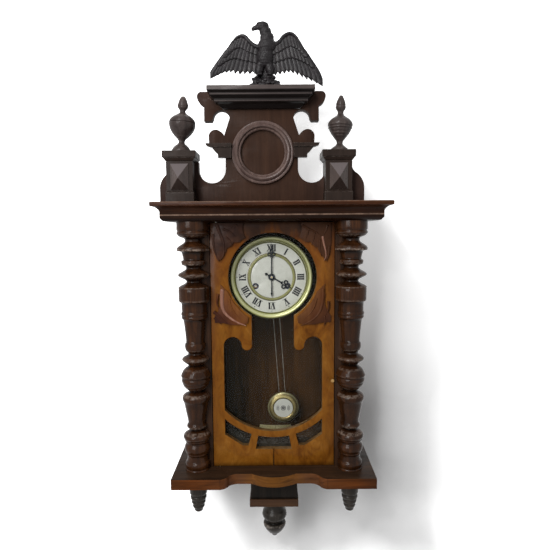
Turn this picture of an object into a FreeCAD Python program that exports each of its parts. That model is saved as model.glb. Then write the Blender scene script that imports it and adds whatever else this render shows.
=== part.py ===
"""A spring driven Vienna style wall clock with an eagle crest, turned columns and a pierced door.

The origin is the centre of the hanging hole on the wall plane.
+X runs to the viewer's right, +Y into the wall and +Z up, so the dial faces -Y.
"""
import FreeCAD, Part
import math
import os

import Sketcher
from FreeCAD import Placement, Rotation, Vector

os.makedirs("parts", exist_ok=True)
doc = FreeCAD.newDocument("vienna_wall_clock")
sheet = doc.addObject("Spreadsheet::Sheet", "sizes")

# Driving dimensions in millimetres, angles in degrees, in the order of the pieces they belong to
DIMENSIONS = {
    # case
    "case_width": 346, "case_height": 544, "case_depth": 150, "hang_drop": 31,
    "side_thickness": 14, "back_thickness": 10, "top_thickness": 12,
    "stile_width": 48.5, "door_gap": 1.5, "door_inset": 0.5, "stile_thickness": 20,
    "overrun": 4,
    # hanger
    "hanger_width": 44, "hanger_height": 36, "hanger_thickness": 2.5,
    "hanger_bore": 4.5, "hanger_pocket": 11, "hanger_pocket_depth": 5,
    # cornice
    "cornice_reach": 56, "cornice_height": 37, "cornice_cove": 15, "cornice_foot": 25,
    # shelf and pendant
    "shelf_overhang": 30.5, "shelf_reach": 53, "shelf_thickness": 21, "shelf_recess": 22,
    "shelf_block": 97,
    "pendant_width": 95, "pendant_depth": 100, "pendant_height": 39, "pendant_front": 20,
    "plate_height": 15.5, "plate_lip": 2.3, "finial_length": 95, "finial_radius": 26.8,
    "drop_length": 59, "drop_radius": 17.8, "drop_setback": 41,
    # columns
    "column_inset": 15.5, "column_radius": 32.2, "column_proud": 3,
    # crest
    "crest_shift": -21, "crest_width": 434, "crest_height": 234.5, "crest_thickness": 20,
    "crest_front": 80, "crest_shoulder": 37, "notch_radius": 29, "notch_spacing": 211,
    "roundel_radius": 60.7, "roundel_bore": 44.6, "roundel_drop": 124.5, "roundel_relief": 14,
    "ledge_reach": 113, "ledge_root": 82, "ledge_height": 27, "ledge_depth": 14, "ledge_drop": 14,
    "cap_width": 219, "cap_foot_width": 160, "cap_height": 39, "cap_front": 38,
    "pedestal_spacing": 326, "pedestal_width": 57, "pedestal_height": 91, "pedestal_depth": 32,
    "pedestal_cap_height": 18, "pedestal_cap_lip": 4, "diamond_relief": 7,
    "urn_height": 112, "urn_radius": 27.5,
    "eagle_shift": 8, "eagle_height": 134, "eagle_span": 224, "eagle_thickness": 30, "wing_thickness": 9,
    # door
    "door_thickness": 18, "round_radius": 89.5, "round_drop": 117.5,
    "neck_half": 43, "lobe_half": 18.5, "rail_width": 24, "lobe_level": 257.5,
    "sweep_radius": 133.7, "sweep_rise": 74, "band_width": 13, "tracery_width": 13,
    "foot_rail": 43.5, "glass_thickness": 2, "glass_rim": 16, "rebate_depth": 6, "bead_width": 5,
    "joint_width": 2.4, "joint_depth": 4, "carving_thickness": 4,
    "pivot_inset": 12, "pivot_depth": 3.5, "pivot_radius": 1.5, "pivot_length": 9, "fit": 0.05,
    "socket_size": 9, "socket_thickness": 1.5,
    "latch_drop": 329, "latch_inset": 4, "latch_radius": 2, "latch_knob": 3.5, "latch_tongue": 14,
    "latch_thickness": 2, "latch_clearance": 0.5, "latch_proud": 8,
    # dial
    "dial_shift": -2, "dial_drop": 120, "dial_front": 34, "pan_radius": 81, "pan_thickness": 1.5,
    "bezel_radius": 86.5, "bezel_bore": 73.8, "bezel_height": 6, "enamel_radius": 78,
    "enamel_thickness": 2.2, "ring_radius": 50.3, "ring_bore": 46.3, "ring_height": 3,
    "disc_thickness": 1.4, "centre_hole": 6, "key_hole": 4.7, "winding_offset": 33.5,
    "winding_drop": 19, "foot_radius": 2.5, "foot_offset": 40,
    # hands
    "hand_thickness": 0.8, "minute_length": 59, "minute_tail": 38, "hour_length": 50, "hour_tail": 13,
    "hand_width": 1.8, "hour_lift": 1.2, "minute_lift": 3.4,
    # movement
    "motion_room": 10, "plate_thickness": 2.5, "plate_gap": 42, "plate_width": 104,
    "plate_tall": 124, "pillar_radius": 3.5, "pillar_inset": 8,
    "bracket_width": 8, "bracket_height": 8, "bracket_foot": 46,
    "arbor_radius": 1.2, "barrel_arbor": 3, "barrel_radius": 23, "barrel_length": 20,
    "wheel_thickness": 1.5, "great_thickness": 2, "great_module": 1.0, "second_module": 0.75,
    "centre_module": 0.7, "third_module": 0.65, "motion_module": 0.9, "escape_radius": 15,
    "escape_rise": 25, "anchor_rise": 46, "pallet_room": 1.5, "crutch_length": 52, "crutch_width": 3,
    "centre_arbor": 1.5, "cannon_radius": 2.6, "hour_pipe": 4.2, "key_square": 4.2,
    # pendulum and strike
    "pendulum_plane": 46, "bob_rise": 88.4, "swing_angle": 3.9, "rod_radius": 0.9,
    "rod_spacing": 14, "bob_radius": 35.3, "bob_thickness": 16, "bob_rim": 2, "bob_disc": 21.5,
    "bob_forward": 3.5,
    "slot_room": 0.7, "slot_depth": 9, "nut_height": 4, "nut_reach": 4.2, "screw_radius": 1.5,
    "spring_length": 22, "spring_width": 5, "spring_thickness": 0.4, "clamp_width": 8,
    "gong_start": 10, "gong_pitch": 9.7, "gong_strip": 1.4, "gong_width": 6, "gong_front": 34,
    "gong_block": 6, "hammer_radius": 5, "hammer_gap": 3, "hammer_side": 40, "hammer_rise": 44,
    # beat scale
    "scale_width": 73, "scale_height": 13, "scale_thickness": 2, "scale_rise": 19, "scale_shift": 5.5,
}
for row, (alias, number) in enumerate(DIMENSIONS.items(), start=1):
    sheet.set(f"A{row}", alias)
    sheet.set(f"B{row}", str(number))
    sheet.setAlias(f"B{row}", alias)
doc.recompute()


class Length:
    """A length worked out from the sheet: its number now, and the expression that keeps it bound."""

    def __init__(self, number, text):
        self.number = number
        self.text = text

    def __add__(self, other):
        return Length(self.number + other.number, f"({self.text} + {other.text})")

    def __sub__(self, other):
        return Length(self.number - other.number, f"({self.text} - {other.text})")

    def __mul__(self, share):
        return Length(self.number * share, f"({self.text} * {share:.9f})")

    __rmul__ = __mul__

    def __truediv__(self, share):
        return self * (1 / share)

    def __neg__(self):
        return self * -1


class Sizes:
    """Reads any alias of the sheet as a Length."""

    def __getattr__(self, alias):
        return Length(float(sheet.get(alias)), f"sizes.{alias}")


size = Sizes()
QUARTER = math.tan(math.pi / 8) / 2
BAR_SHARE = 0.45
ZERO = Length(0.0, "0")
PARTS = {}


# Helpers for parametric bodies
def bound(thing, prop, length):
    """Ties one property of an object to the sheet."""
    thing.setExpression(prop, length.text)


def place(thing, at, turn=None):
    """Puts an object at a bound position, turned about an axis by an angle where one is given."""
    if turn:
        thing.Placement = Placement(Vector(), Rotation(Vector(*turn[0]), turn[1]))
    for axis, length in zip("xyz", at):
        thing.setExpression(f"Placement.Base.{axis}", length.text)


def body(name, at, turn=None):
    """A new PartDesign body, which becomes the sub-part of that name."""
    made = doc.addObject("PartDesign::Body", name)
    made.Label = name
    made.AllowCompound = True
    place(made, at, turn)
    PARTS[name] = made
    return made


def origin_plane(owner, role):
    return next(item for item in owner.Origin.OriginFeatures if item.Role == role)


def middle(start, end, bulge):
    """The middle point of an arc whose rise is a share of its chord, to the right of its way."""
    (u1, v1), (u2, v2) = start, end
    return (u1 + u2) / 2 + (v2 - v1) * bulge, (v1 + v2) / 2 - (u2 - u1) * bulge


def draw(sketch, loops):
    """Draws closed loops of lines and arcs, and circles, with every point bound to the sheet."""
    shapes, rules, texts = [], [], []

    def fix(index, point, place_uv):
        for kind, length in zip(("DistanceX", "DistanceY"), place_uv):
            rules.append(Sketcher.Constraint(kind, -1, 1, index, point, length.number))
            texts.append((len(rules) - 1, length.text))

    for loop in loops:
        if loop[0] == "circle":
            _, u, v, radius = loop
            shapes.append(Part.Circle(Vector(u.number, v.number, 0), Vector(0, 0, 1), radius.number))
            fix(len(shapes) - 1, 3, (u, v))
            rules.append(Sketcher.Constraint("Radius", len(shapes) - 1, radius.number))
            texts.append((len(rules) - 1, radius.text))
            continue
        first = len(shapes)
        middles = []
        for k, point in enumerate(loop):
            start, end = point[:2], loop[(k + 1) % len(loop)][:2]
            bulge = point[2] if len(point) > 2 else 0
            a, b = (Vector(p[0].number, p[1].number, 0) for p in (start, end))
            if bulge:
                through = middle(start, end, bulge)
                ends = (1, 2) if bulge > 0 else (2, 1)
                # A sketch's arcs always run anticlockwise, so the others are drawn from their far end
                first_end, last_point = (a, b) if bulge > 0 else (b, a)
                bend = Vector(through[0].number, through[1].number, 0)
                shapes.append(Part.Arc(first_end, bend, last_point))
                middles.append((len(shapes) - 1, through))
            else:
                shapes.append(Part.LineSegment(a, b))
                ends = (1, 2)
            if k == 0:
                start_end = ends[0]
            else:
                rules.append(Sketcher.Constraint("Coincident", len(shapes) - 2, last_end,
                                                 len(shapes) - 1, ends[0]))
            fix(len(shapes) - 1, ends[0], start)
            last_end = ends[1]
        rules.append(Sketcher.Constraint("Coincident", len(shapes) - 1, last_end, first, start_end))
        for index, through in middles:
            shapes.append(Part.Point(Vector(through[0].number, through[1].number, 0)))
            mark = len(shapes) - 1
            fix(mark, 1, through)
            rules.append(Sketcher.Constraint("PointOnObject", mark, 1, index))
    sketch.addGeometry(shapes, False)
    for index, shape in enumerate(shapes):
        if isinstance(shape, Part.Point):
            sketch.setConstruction(index, True)
    sketch.addConstraint(rules)
    for index, text in texts:
        sketch.setExpression(f"Constraints[{index}]", text)


def sketch_on(owner, role, loops, lift=None):
    """A sketch of the given loops on one of a body's own origin planes, raised along its normal."""
    made = owner.newObject("Sketcher::SketchObject", f"{owner.Name}_sketch")
    made.AttachmentSupport = [(origin_plane(owner, role), "")]
    made.MapMode = "FlatFace"
    if lift:
        bound(made, "AttachmentOffset.Base.z", lift)
    draw(made, loops)
    return made


def pad(owner, sketch, length, reverse=False, midplane=False):
    made = owner.newObject("PartDesign::Pad", f"{owner.Name}_pad")
    made.Profile = sketch
    made.Midplane = midplane
    made.Reversed = reverse
    bound(made, "Length", length)
    return made


def pocket(owner, sketch, length, reverse=False, midplane=False):
    made = owner.newObject("PartDesign::Pocket", f"{owner.Name}_pocket")
    made.Profile = sketch
    made.Midplane = midplane
    made.Reversed = reverse
    bound(made, "Length", length)
    return made


def revolve(owner, sketch, axis="V_Axis", groove=False):
    kind = "Groove" if groove else "Revolution"
    made = owner.newObject(f"PartDesign::{kind}", f"{owner.Name}_{kind.lower()}")
    made.Profile = sketch
    made.ReferenceAxis = (sketch, [axis])
    made.Angle = 360
    return made


def rectangle(left, low, right, high):
    return [(left, low), (right, low), (right, high), (left, high)]


def board(name, left, front, foot, wide, deep, tall):
    """A squared board from its left, front, bottom corner and its three sizes."""
    made = body(name, (left, front, foot))
    pad(made, sketch_on(made, "XY_Plane", [rectangle(ZERO, ZERO, wide, deep)]), tall)
    return made


def lathe_profile(table, height, radius):
    """The half section of a turning, closed along its axis."""
    points = [(radius * r if r else ZERO, height * h, bulge) for h, r, bulge in table]
    if table[0][1]:
        points.insert(0, (ZERO, height * table[0][0], 0))
    if table[-1][1]:
        points.append((ZERO, height * table[-1][0], 0))
    return points


def turned(name, at, table, height, radius, turn=None):
    """A lathe turned piece about Z from shares of its height and radius, with bulges for its beads."""
    made = body(name, at, turn)
    revolve(made, sketch_on(made, "XZ_Plane", [lathe_profile(table, height, radius)]))
    return made


def ring(name, at, loops, turn=None):
    """A round piece about the Y axis from sections drawn as radius and depth."""
    made = body(name, at, turn)
    revolve(made, sketch_on(made, "XY_Plane", loops))
    return made


def shaped(name, shape, at=(ZERO, ZERO, ZERO), turn=None):
    """A sub-part whose form comes from a formula that no sketch feature gives."""
    made = doc.addObject("Part::Feature", name)
    made.Label = name
    made.Shape = shape
    rotation = Rotation(Vector(*turn[0]), turn[1]) if turn else Rotation()
    made.Placement = Placement(Vector(*(length.number for length in at)), rotation)
    PARTS[name] = made
    return made


def mirrored(points):
    """The outline given by its right half, from bottom to top, closed by its mirror image."""
    right = [tuple(p) + (0,) if len(p) == 2 else tuple(p) for p in points]
    left = []
    for k in range(len(right) - 1, -1, -1):
        bulge = right[k - 1][2] if k else 0
        left.append((-right[k][0], right[k][1], bulge))
    return right + left


# Levels and planes that many pieces share
top_level = size.hang_drop
shelf_level = size.hang_drop - size.case_height
front_plane = -size.case_depth
half_case = size.case_width / 2
half_door = half_case - size.stile_width
column_x = half_case - size.column_inset
opening_half = half_door + size.door_gap
cornice_level = top_level - size.cornice_height
carcase_height = size.case_height - size.top_thickness
door_low = shelf_level + size.door_gap
door_high = cornice_level - size.door_gap
stile_back = front_plane + size.stile_thickness
dial_plane = front_plane + size.dial_front
crest_x = size.crest_shift


# Case boards
def make_case():
    back = body("backboard", (ZERO, ZERO, shelf_level))
    outline = rectangle(-half_case, ZERO, half_case, carcase_height)
    pad(back, sketch_on(back, "XZ_Plane", [outline]), size.back_thickness)
    plate = rectangle(-size.hanger_width / 2, size.case_height - top_level - size.hanger_height / 2,
                      size.hanger_width / 2, size.case_height - top_level + size.hanger_height / 2)
    # The plate is let in flush, with a deeper round pocket for the head of the nail
    pocket(back, sketch_on(back, "XZ_Plane", [plate]), size.hanger_thickness, reverse=True)
    hole = ("circle", ZERO, size.case_height - top_level, size.hanger_pocket)
    pocket(back, sketch_on(back, "XZ_Plane", [hole]),
           size.hanger_thickness + size.hanger_pocket_depth, reverse=True)

    hanger = body("hanger_plate", (ZERO, ZERO, ZERO))
    outline = rectangle(-size.hanger_width / 2, -size.hanger_height / 2,
                        size.hanger_width / 2, size.hanger_height / 2)
    pad(hanger, sketch_on(hanger, "XZ_Plane", [outline, ("circle", ZERO, ZERO, size.hanger_bore)]),
        size.hanger_thickness)

    sides = body("case_sides", (ZERO, stile_back, shelf_level))
    side_depth = size.case_depth - size.back_thickness - size.stile_thickness
    inner = half_case - size.side_thickness
    outlines = [rectangle(-half_case, ZERO, -inner, side_depth),
                rectangle(inner, ZERO, half_case, side_depth)]
    pad(sides, sketch_on(sides, "XY_Plane", outlines), carcase_height)
    board("case_top_board", -half_case, front_plane, top_level - size.top_thickness,
          size.case_width, size.case_depth, size.top_thickness)

    # Two stiles and a head rail glued up as one frame, open at the foot for the door
    frame = body("face_frame", (ZERO, stile_back, ZERO))
    high = top_level - size.top_thickness
    outline = [(-half_case, shelf_level), (-opening_half, shelf_level), (-opening_half, cornice_level),
               (opening_half, cornice_level), (opening_half, shelf_level), (half_case, shelf_level),
               (half_case, high), (-half_case, high)]
    pad(frame, sketch_on(frame, "XZ_Plane", [outline]), size.stile_thickness)
    sink = shifted(socket_outline(), ZERO, -stile_back)
    pocket(frame, sketch_on(frame, "XY_Plane", [sink], cornice_level), size.socket_thickness, reverse=True)
    deep = ("circle", pivot_x, pivot_y - stile_back, size.pivot_radius + size.fit)
    pocket(frame, sketch_on(frame, "XY_Plane", [deep], cornice_level), size.pivot_length, reverse=True)


pivot_x = -half_door + size.pivot_inset
door_front = front_plane + size.door_inset
pivot_y = door_front + size.pivot_depth


def socket_outline():
    """The square plate that a door pivot turns in, in the case frame."""
    half = size.socket_size / 2
    return rectangle(pivot_x - half, door_front, pivot_x + half, door_front + size.socket_size)


def shifted(points, by_u, by_v):
    return [(p[0] + by_u, p[1] + by_v) + tuple(p[2:]) for p in points]


# Mitred cornice and its moulding section, also used on the crest cap
def moulding(name, section, half_width, depth, at, hollow=None):
    """A moulding that returns along both sides, as what two crossed lengths of it have in common."""
    front_points = mirrored([(half_width - inward, level, bulge) for inward, level, bulge in section])
    side_points = [(depth - inward, level, bulge) for inward, level, bulge in section]
    top, low = section[-1][1], section[0][1]
    side_points += [(ZERO, top), (ZERO, low)]
    lengths = []
    for role, points, run in (("front", front_points, depth + size.overrun),
                              ("side", side_points, half_width * 2 + size.overrun)):
        sketch = doc.addObject("Sketcher::SketchObject", f"{name}_{role}_sketch")
        draw(sketch, [points])
        turn = Rotation(Vector(1, 0, 0), 90)
        if role == "side":
            turn = Rotation(Vector(0, 0, 1), -90) * turn
        sketch.Placement = Placement(Vector(), turn)
        made = doc.addObject("Part::Extrusion", f"{name}_{role}")
        made.Base = sketch
        made.DirMode = "Normal"
        made.Solid = True
        bound(made, "LengthFwd", run if role == "front" else run / 2)
        if role == "side":
            bound(made, "LengthRev", run / 2)
        lengths.append(made)
    made = doc.addObject("Part::Common", f"{name}_lengths")
    made.Base, made.Tool = lengths
    if hollow:
        inner = doc.addObject("Part::Box", f"{name}_hollow")
        low, wide, deep, tall = hollow
        for prop, length in (("Length", wide), ("Width", deep), ("Height", tall)):
            bound(inner, prop, length)
        place(inner, (-wide / 2, -deep, low))
        cut = doc.addObject("Part::Cut", f"{name}_cut")
        cut.Base, cut.Tool = made, inner
        made = cut
    made.Label = name
    place(made, at)
    PARTS[name] = made
    return made


def make_cornice():
    tall, cove, foot = size.cornice_height, size.cornice_cove, size.cornice_foot
    section = [(foot, ZERO, 0), (foot - cove * 0.35, tall * 0.03, 0), (cove, tall * 0.18, 0),
               (cove, tall * 0.5, -0.16), (cove * 0.1, tall * 0.77, 0), (ZERO, tall * 0.79, 0),
               (ZERO, tall * 0.97, 0), (cove * 0.1, tall, 0)]
    moulding("cornice", section, half_case + size.cornice_reach,
             size.case_depth + size.cornice_reach, (ZERO, ZERO, cornice_level),
             (ZERO, size.case_width, size.case_depth, tall))


# Serpentine shelf, pendant and finials
def make_shelf():
    shelf = body("base_shelf", (ZERO, ZERO, shelf_level - size.shelf_thickness))
    front = front_plane - size.shelf_reach
    half = half_case + size.shelf_overhang
    block = half - size.shelf_block
    recess = front + size.shelf_recess
    outline = [(half, ZERO, 0), (half, front, 0), (block, front, -0.12),
               (block - size.shelf_recess * 0.7, recess - size.shelf_recess * 0.45, 0.12),
               (block - size.shelf_recess * 1.5, recess, 0), (block * 0.42, recess, -0.16),
               (-block * 0.42, recess, 0), (-block + size.shelf_recess * 1.5, recess, 0.12),
               (-block + size.shelf_recess * 0.7, recess - size.shelf_recess * 0.45, -0.12),
               (-block, front, 0), (-half, front, 0), (-half, ZERO, 0)]
    pad(shelf, sketch_on(shelf, "XY_Plane", [outline]), size.shelf_thickness)
    top = size.shelf_thickness
    sink = [(p[0], p[1]) for p in socket_outline()]
    pocket(shelf, sketch_on(shelf, "XY_Plane", [sink], top), size.socket_thickness)
    hole = ("circle", pivot_x, pivot_y, size.pivot_radius + size.fit)
    pocket(shelf, sketch_on(shelf, "XY_Plane", [hole], top), size.pivot_length)

    low = shelf_level - size.shelf_thickness
    box_front = front_plane - size.pendant_front
    board("pendant_box", -size.pendant_width / 2, box_front, low - size.pendant_height,
          size.pendant_width, size.pendant_depth, size.pendant_height)
    lip = size.plate_lip
    board("pendant_plate", -size.pendant_width / 2 - lip, box_front - lip,
          low - size.pendant_height - size.plate_height, size.pendant_width + lip * 2,
          size.pendant_depth + lip, size.plate_height)
    table = [(0, 0, 0.1), (0.06, 0.33, 0.05), (0.108, 0.54, 0.03), (0.181, 0.74, 0.03), (0.254, 0.86, 0),
             (0.302, 0.9, 0), (0.318, 0.86, -0.2), (0.362, 0.57, -0.1), (0.422, 0.82, 0.2), (0.518, 1, 0.15),
             (0.616, 0.82, -0.1), (0.662, 0.89, 0.2), (0.72, 0.9, -0.1), (0.79, 0.75, 0.1), (0.86, 0.95, 0),
             (1, 0.95, 0)]
    turned("pendant_finial", (ZERO, box_front + size.pendant_depth * 0.4,
                              low - size.pendant_height - size.plate_height - size.finial_length),
           table, size.finial_length, size.finial_radius)
    table = [(0, 0, 0.2), (0.1, 0.48, 0.2), (0.28, 0.58, 0), (0.33, 0.55, 0), (0.39, 0.66, 0),
             (0.5, 0.88, 0), (0.55, 0.97, 0.1), (0.72, 1, 0), (0.78, 0.9, 0), (0.86, 1, 0), (1, 1, 0)]
    height = size.drop_length
    profile = lathe_profile(table, height, size.drop_radius)
    made = body("drop_finials", (ZERO, front_plane - size.shelf_reach + size.drop_setback, low - height))
    for sign in (-1, 1):
        turn_one(made, profile, column_x * sign)


def turn_one(owner, profile, offset):
    """One turned solid beside the body's own axis, with its centre line drawn in the sketch."""
    sketch = sketch_on(owner, "XZ_Plane", [[(p[0] + offset,) + tuple(p[1:]) for p in profile]])
    line = Part.LineSegment(Vector(offset.number, 0, 0), Vector(offset.number, 1, 0))
    sketch.addGeometry(line, True)
    made = owner.newObject("PartDesign::Revolution", f"{owner.Name}_turned")
    made.AllowMultiFace = True
    made.Profile = sketch
    made.ReferenceAxis = (sketch, ["Axis0"])
    made.Angle = 360
    return made


# The turned columns, from the foot up: share of the height, share of the radius, bulge to the next
COLUMN_SHARES = [
    (0, 0.96, 0.12), (0.022, 0.9, 0), (0.028, 0.84, 0), (0.058, 0.82, 0),
    (0.066, 0.9, 0.14), (0.092, 0.87, 0), (0.1, 0.78, 0), (0.116, 0.75, 0), (0.13, 0.94, 0.16),
    (0.148, 0.9, 0), (0.163, 0.5, 0), (0.171, 0.5, 0), (0.176, 0.7, 0), (0.186, 0.7, 0),
    (0.196, 0.57, 0), (0.284, 0.91, 0), (0.291, 0.97, 0), (0.3, 0.95, 0), (0.31, 0.8, 0),
    (0.322, 0.47, 0), (0.33, 0.47, 0), (0.348, 0.83, 0.08), (0.37, 0.97, 0), (0.372, 0.94, 0),
    (0.376, 0.94, 0), (0.378, 0.99, 0.1), (0.408, 0.82, 0), (0.423, 0.48, 0), (0.433, 0.48, 0),
    (0.447, 0.83, 0), (0.453, 0.9, 0), (0.459, 0.83, 0), (0.471, 0.47, 0), (0.481, 0.47, 0),
    (0.487, 0.65, 0.12), (0.514, 0.64, 0), (0.52, 0.6, 0), (0.61, 0.71, 0), (0.616, 0.79, 0),
    (0.626, 0.79, 0), (0.632, 0.86, 0), (0.643, 0.84, 0), (0.647, 0.81, 0), (0.683, 0.83, 0),
    (0.69, 0.99, 0), (0.74, 1, 0), (0.749, 0.91, 0), (0.757, 0.65, -0.12), (0.77, 0.51, 0),
    (0.779, 0.62, 0), (0.789, 0.92, 0), (0.795, 0.98, 0), (0.802, 0.92, 0), (0.811, 0.62, 0),
    (0.822, 0.47, 0), (0.831, 0.47, 0), (0.837, 0.72, 0), (0.851, 0.74, 0), (0.855, 0.64, 0),
    (0.877, 0.7, 0), (0.884, 0.86, 0), (0.888, 0.98, 0), (0.9, 1, 0), (0.904, 0.9, 0),
    (0.912, 0.62, -0.12), (0.922, 0.48, 0), (0.93, 0.48, 0), (0.94, 0.74, 0), (0.944, 0.92, 0),
    (0.954, 0.94, 0), (0.962, 0.88, 0), (0.966, 0.95, 0), (1, 0.95, 0),
]


def make_columns():
    height = cornice_level - shelf_level
    back = size.column_proud
    for name, sign in (("column_left", -1), ("column_right", 1)):
        made = turned(name, (column_x * sign, front_plane - back, shelf_level),
                      COLUMN_SHARES, height, size.column_radius, ((0, 0, 1), 90 - 90 * sign))
        # The turning is cut away where it lies against the stile and over the edge of the door
        edge = size.column_inset
        reach = size.column_radius + size.overrun
        corner = [(-reach, back * sign), (edge, back * sign), (edge, reach * sign), (-reach, reach * sign)]
        pocket(made, sketch_on(made, "XY_Plane", [corner]), height + size.overrun, reverse=True)


# Crest: board, roundel, ledges, pedestals with caps, urns, cap and eagle
def make_crest():
    low = top_level
    wide, tall = size.crest_width / 2, size.crest_height
    notch = size.notch_radius
    centre = size.notch_spacing / 2
    rise = tall * 0.32
    high = size.pedestal_height
    outline = [
        (wide, ZERO, 0), (wide, size.crest_shoulder, 0.12), (wide * 0.912, tall * 0.29, -0.08),
        (wide * 0.876, tall * 0.345, 0), (wide * 0.876, high, 0), (centre + notch, high, 0),
        (centre + notch, rise, -0.2071), (centre, rise - notch, -0.2071),
        (centre - notch, rise, 0), (centre - notch, tall * 0.42, -0.1),
        (wide * 0.51, tall * 0.529, 0), (wide * 0.513, tall * 0.6, 0.25), (wide * 0.435, tall * 0.67, 0.1),
        (wide * 0.363, tall * 0.618, 0), (wide * 0.309, tall * 0.768, -QUARTER),
        (wide * 0.388, tall * 0.768 + wide * 0.079, -QUARTER),
        (wide * 0.467, tall * 0.768, 0), (wide * 0.483, tall * 0.744, 0), (wide * 0.555, tall * 0.744, 0),
        (wide * 0.553, tall * 0.88, 0.15), (wide * 0.62, tall * 0.95, 0.2), (wide * 0.585, tall, 0)]
    board_body = body("crest_board", (crest_x, -size.crest_front + size.crest_thickness, low))
    pad(board_body, sketch_on(board_body, "XZ_Plane", [mirrored(outline)]), size.crest_thickness)

    front = -size.crest_front
    inner, outer = size.roundel_bore, size.roundel_radius
    band = outer - inner
    relief = size.roundel_relief
    section = [(inner, ZERO), (outer, ZERO), (outer, -relief * 0.45),
               (outer - band * 0.12, -relief * 0.9), (outer - band * 0.3, -relief),
               (outer - band * 0.42, -relief * 0.55), (outer - band * 0.6, -relief * 0.55),
               (inner + band * 0.2, -relief * 0.8), (inner + band * 0.06, -relief * 0.7)]
    roundel = tall - size.roundel_drop
    ring("crest_roundel", (crest_x, front, low + roundel), [section])

    ledges = body("crest_ledges", (crest_x, front, low + roundel - size.ledge_drop))
    tip, root, high = size.ledge_reach, size.ledge_root, size.ledge_height
    stop = size.roundel_radius
    for sign in (-1, 1):
        points = [(stop * sign * 0.94, ZERO, 0), (root * sign, ZERO, 0),
                  (root * sign, high * 0.12, -0.18 * sign),
                  (tip * sign * 0.94, high * 0.68, 0), (tip * sign, high * 0.74, 0),
                  (tip * sign, high * 0.94, 0), (tip * sign * 0.985, high, 0), (stop * sign * 0.94, high, 0)]
        pad(ledges, sketch_on(ledges, "XZ_Plane", [points]), size.ledge_depth).AllowMultiFace = True
    trim = ("circle", ZERO, size.ledge_drop, size.roundel_radius)
    pocket(ledges, sketch_on(ledges, "XZ_Plane", [trim]), size.ledge_depth, reverse=True)

    pedestals = body("crest_pedestals", (crest_x, front, low))
    caps = body("pedestal_caps", (crest_x, front, low + size.pedestal_height))
    half = size.pedestal_width / 2
    lip = size.pedestal_cap_lip
    for sign in (-1, 1):
        x = size.pedestal_spacing * (sign / 2)
        block = rectangle(x - half, -size.pedestal_depth, x + half, ZERO)
        pad(pedestals, sketch_on(pedestals, "XY_Plane", [block]), size.pedestal_height)
    for sign in (-1, 1):
        x = size.pedestal_spacing * (sign / 2)
        lid = rectangle(x - half - lip, -size.pedestal_depth - lip, x + half + lip, size.crest_thickness)
        pad(caps, sketch_on(caps, "XY_Plane", [lid]), size.pedestal_cap_height)
    for sign in (-1, 1):
        x = size.pedestal_spacing * (sign / 2)
        diamond_boss(pedestals, x)

    table = [(0, 0.88, 0), (0.03, 0.88, 0), (0.07, 0.52, -0.1), (0.12, 0.27, 0), (0.17, 0.22, 0),
             (0.22, 0.32, 0), (0.3, 0.62, 0.05), (0.41, 0.86, 0.03), (0.475, 0.97, 0), (0.48, 0.92, 0),
             (0.495, 0.93, 0), (0.5, 1, 0.07), (0.58, 0.95, 0.1), (0.66, 0.6, -0.12), (0.72, 0.18, 0),
             (0.76, 0.2, 0), (0.8, 0.34, 0.1), (0.85, 0.4, 0.08), (0.93, 0.24, 0.05), (0.98, 0.07, 0),
             (1, 0, 0)]
    height, radius = size.urn_height, size.urn_radius
    profile = lathe_profile(table, height, radius)
    level = low + size.pedestal_height + size.pedestal_cap_height
    depth = (size.crest_thickness - size.pedestal_depth - lip) / 2
    urns = body("urn_finials", (crest_x, front + depth, level))
    for sign in (-1, 1):
        turn_one(urns, profile, size.pedestal_spacing * (sign / 2))

    tall = size.cap_height
    reach = (size.cap_width - size.cap_foot_width) / 2
    section = [(reach, ZERO, 0), (reach * 0.9, tall * 0.08, 0), (reach * 0.72, tall * 0.2, 0),
               (reach * 0.46, tall * 0.3, 0), (reach * 0.44, tall * 0.42, 0), (reach * 0.2, tall * 0.56, 0),
               (reach * 0.18, tall * 0.68, 0), (reach * 0.06, tall * 0.73, 0), (ZERO, tall * 0.77, 0),
               (ZERO, tall, 0)]
    top = low + size.crest_height - tall * 0.95
    moulding("crest_cap", section, size.cap_width / 2, size.crest_thickness + size.cap_front,
             (crest_x, front + size.crest_thickness, top),
             (ZERO, size.cap_width * 2, size.crest_thickness, tall * 0.95))
    return top + tall


def diamond_boss(owner, x):
    """The four sided raised boss on a pedestal's front, as one loft from its foot to its point."""
    half, tall = size.pedestal_width / 2, size.pedestal_height
    low, high = tall * 0.09, tall * 0.9
    foot = rectangle(x - half * 0.78, low, x + half * 0.78, high)
    middle_level = (low + high) / 2
    slim = half * 0.04
    tip = rectangle(x - slim, middle_level - slim, x + slim, middle_level + slim)
    first = sketch_on(owner, "XZ_Plane", [foot], size.pedestal_depth)
    last = sketch_on(owner, "XZ_Plane", [tip], size.pedestal_depth + size.diamond_relief)
    made = owner.newObject("PartDesign::AdditiveLoft", f"{owner.Name}_boss")
    made.Profile = first
    made.Sections = [last]
    made.Ruled = True
    return made


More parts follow.
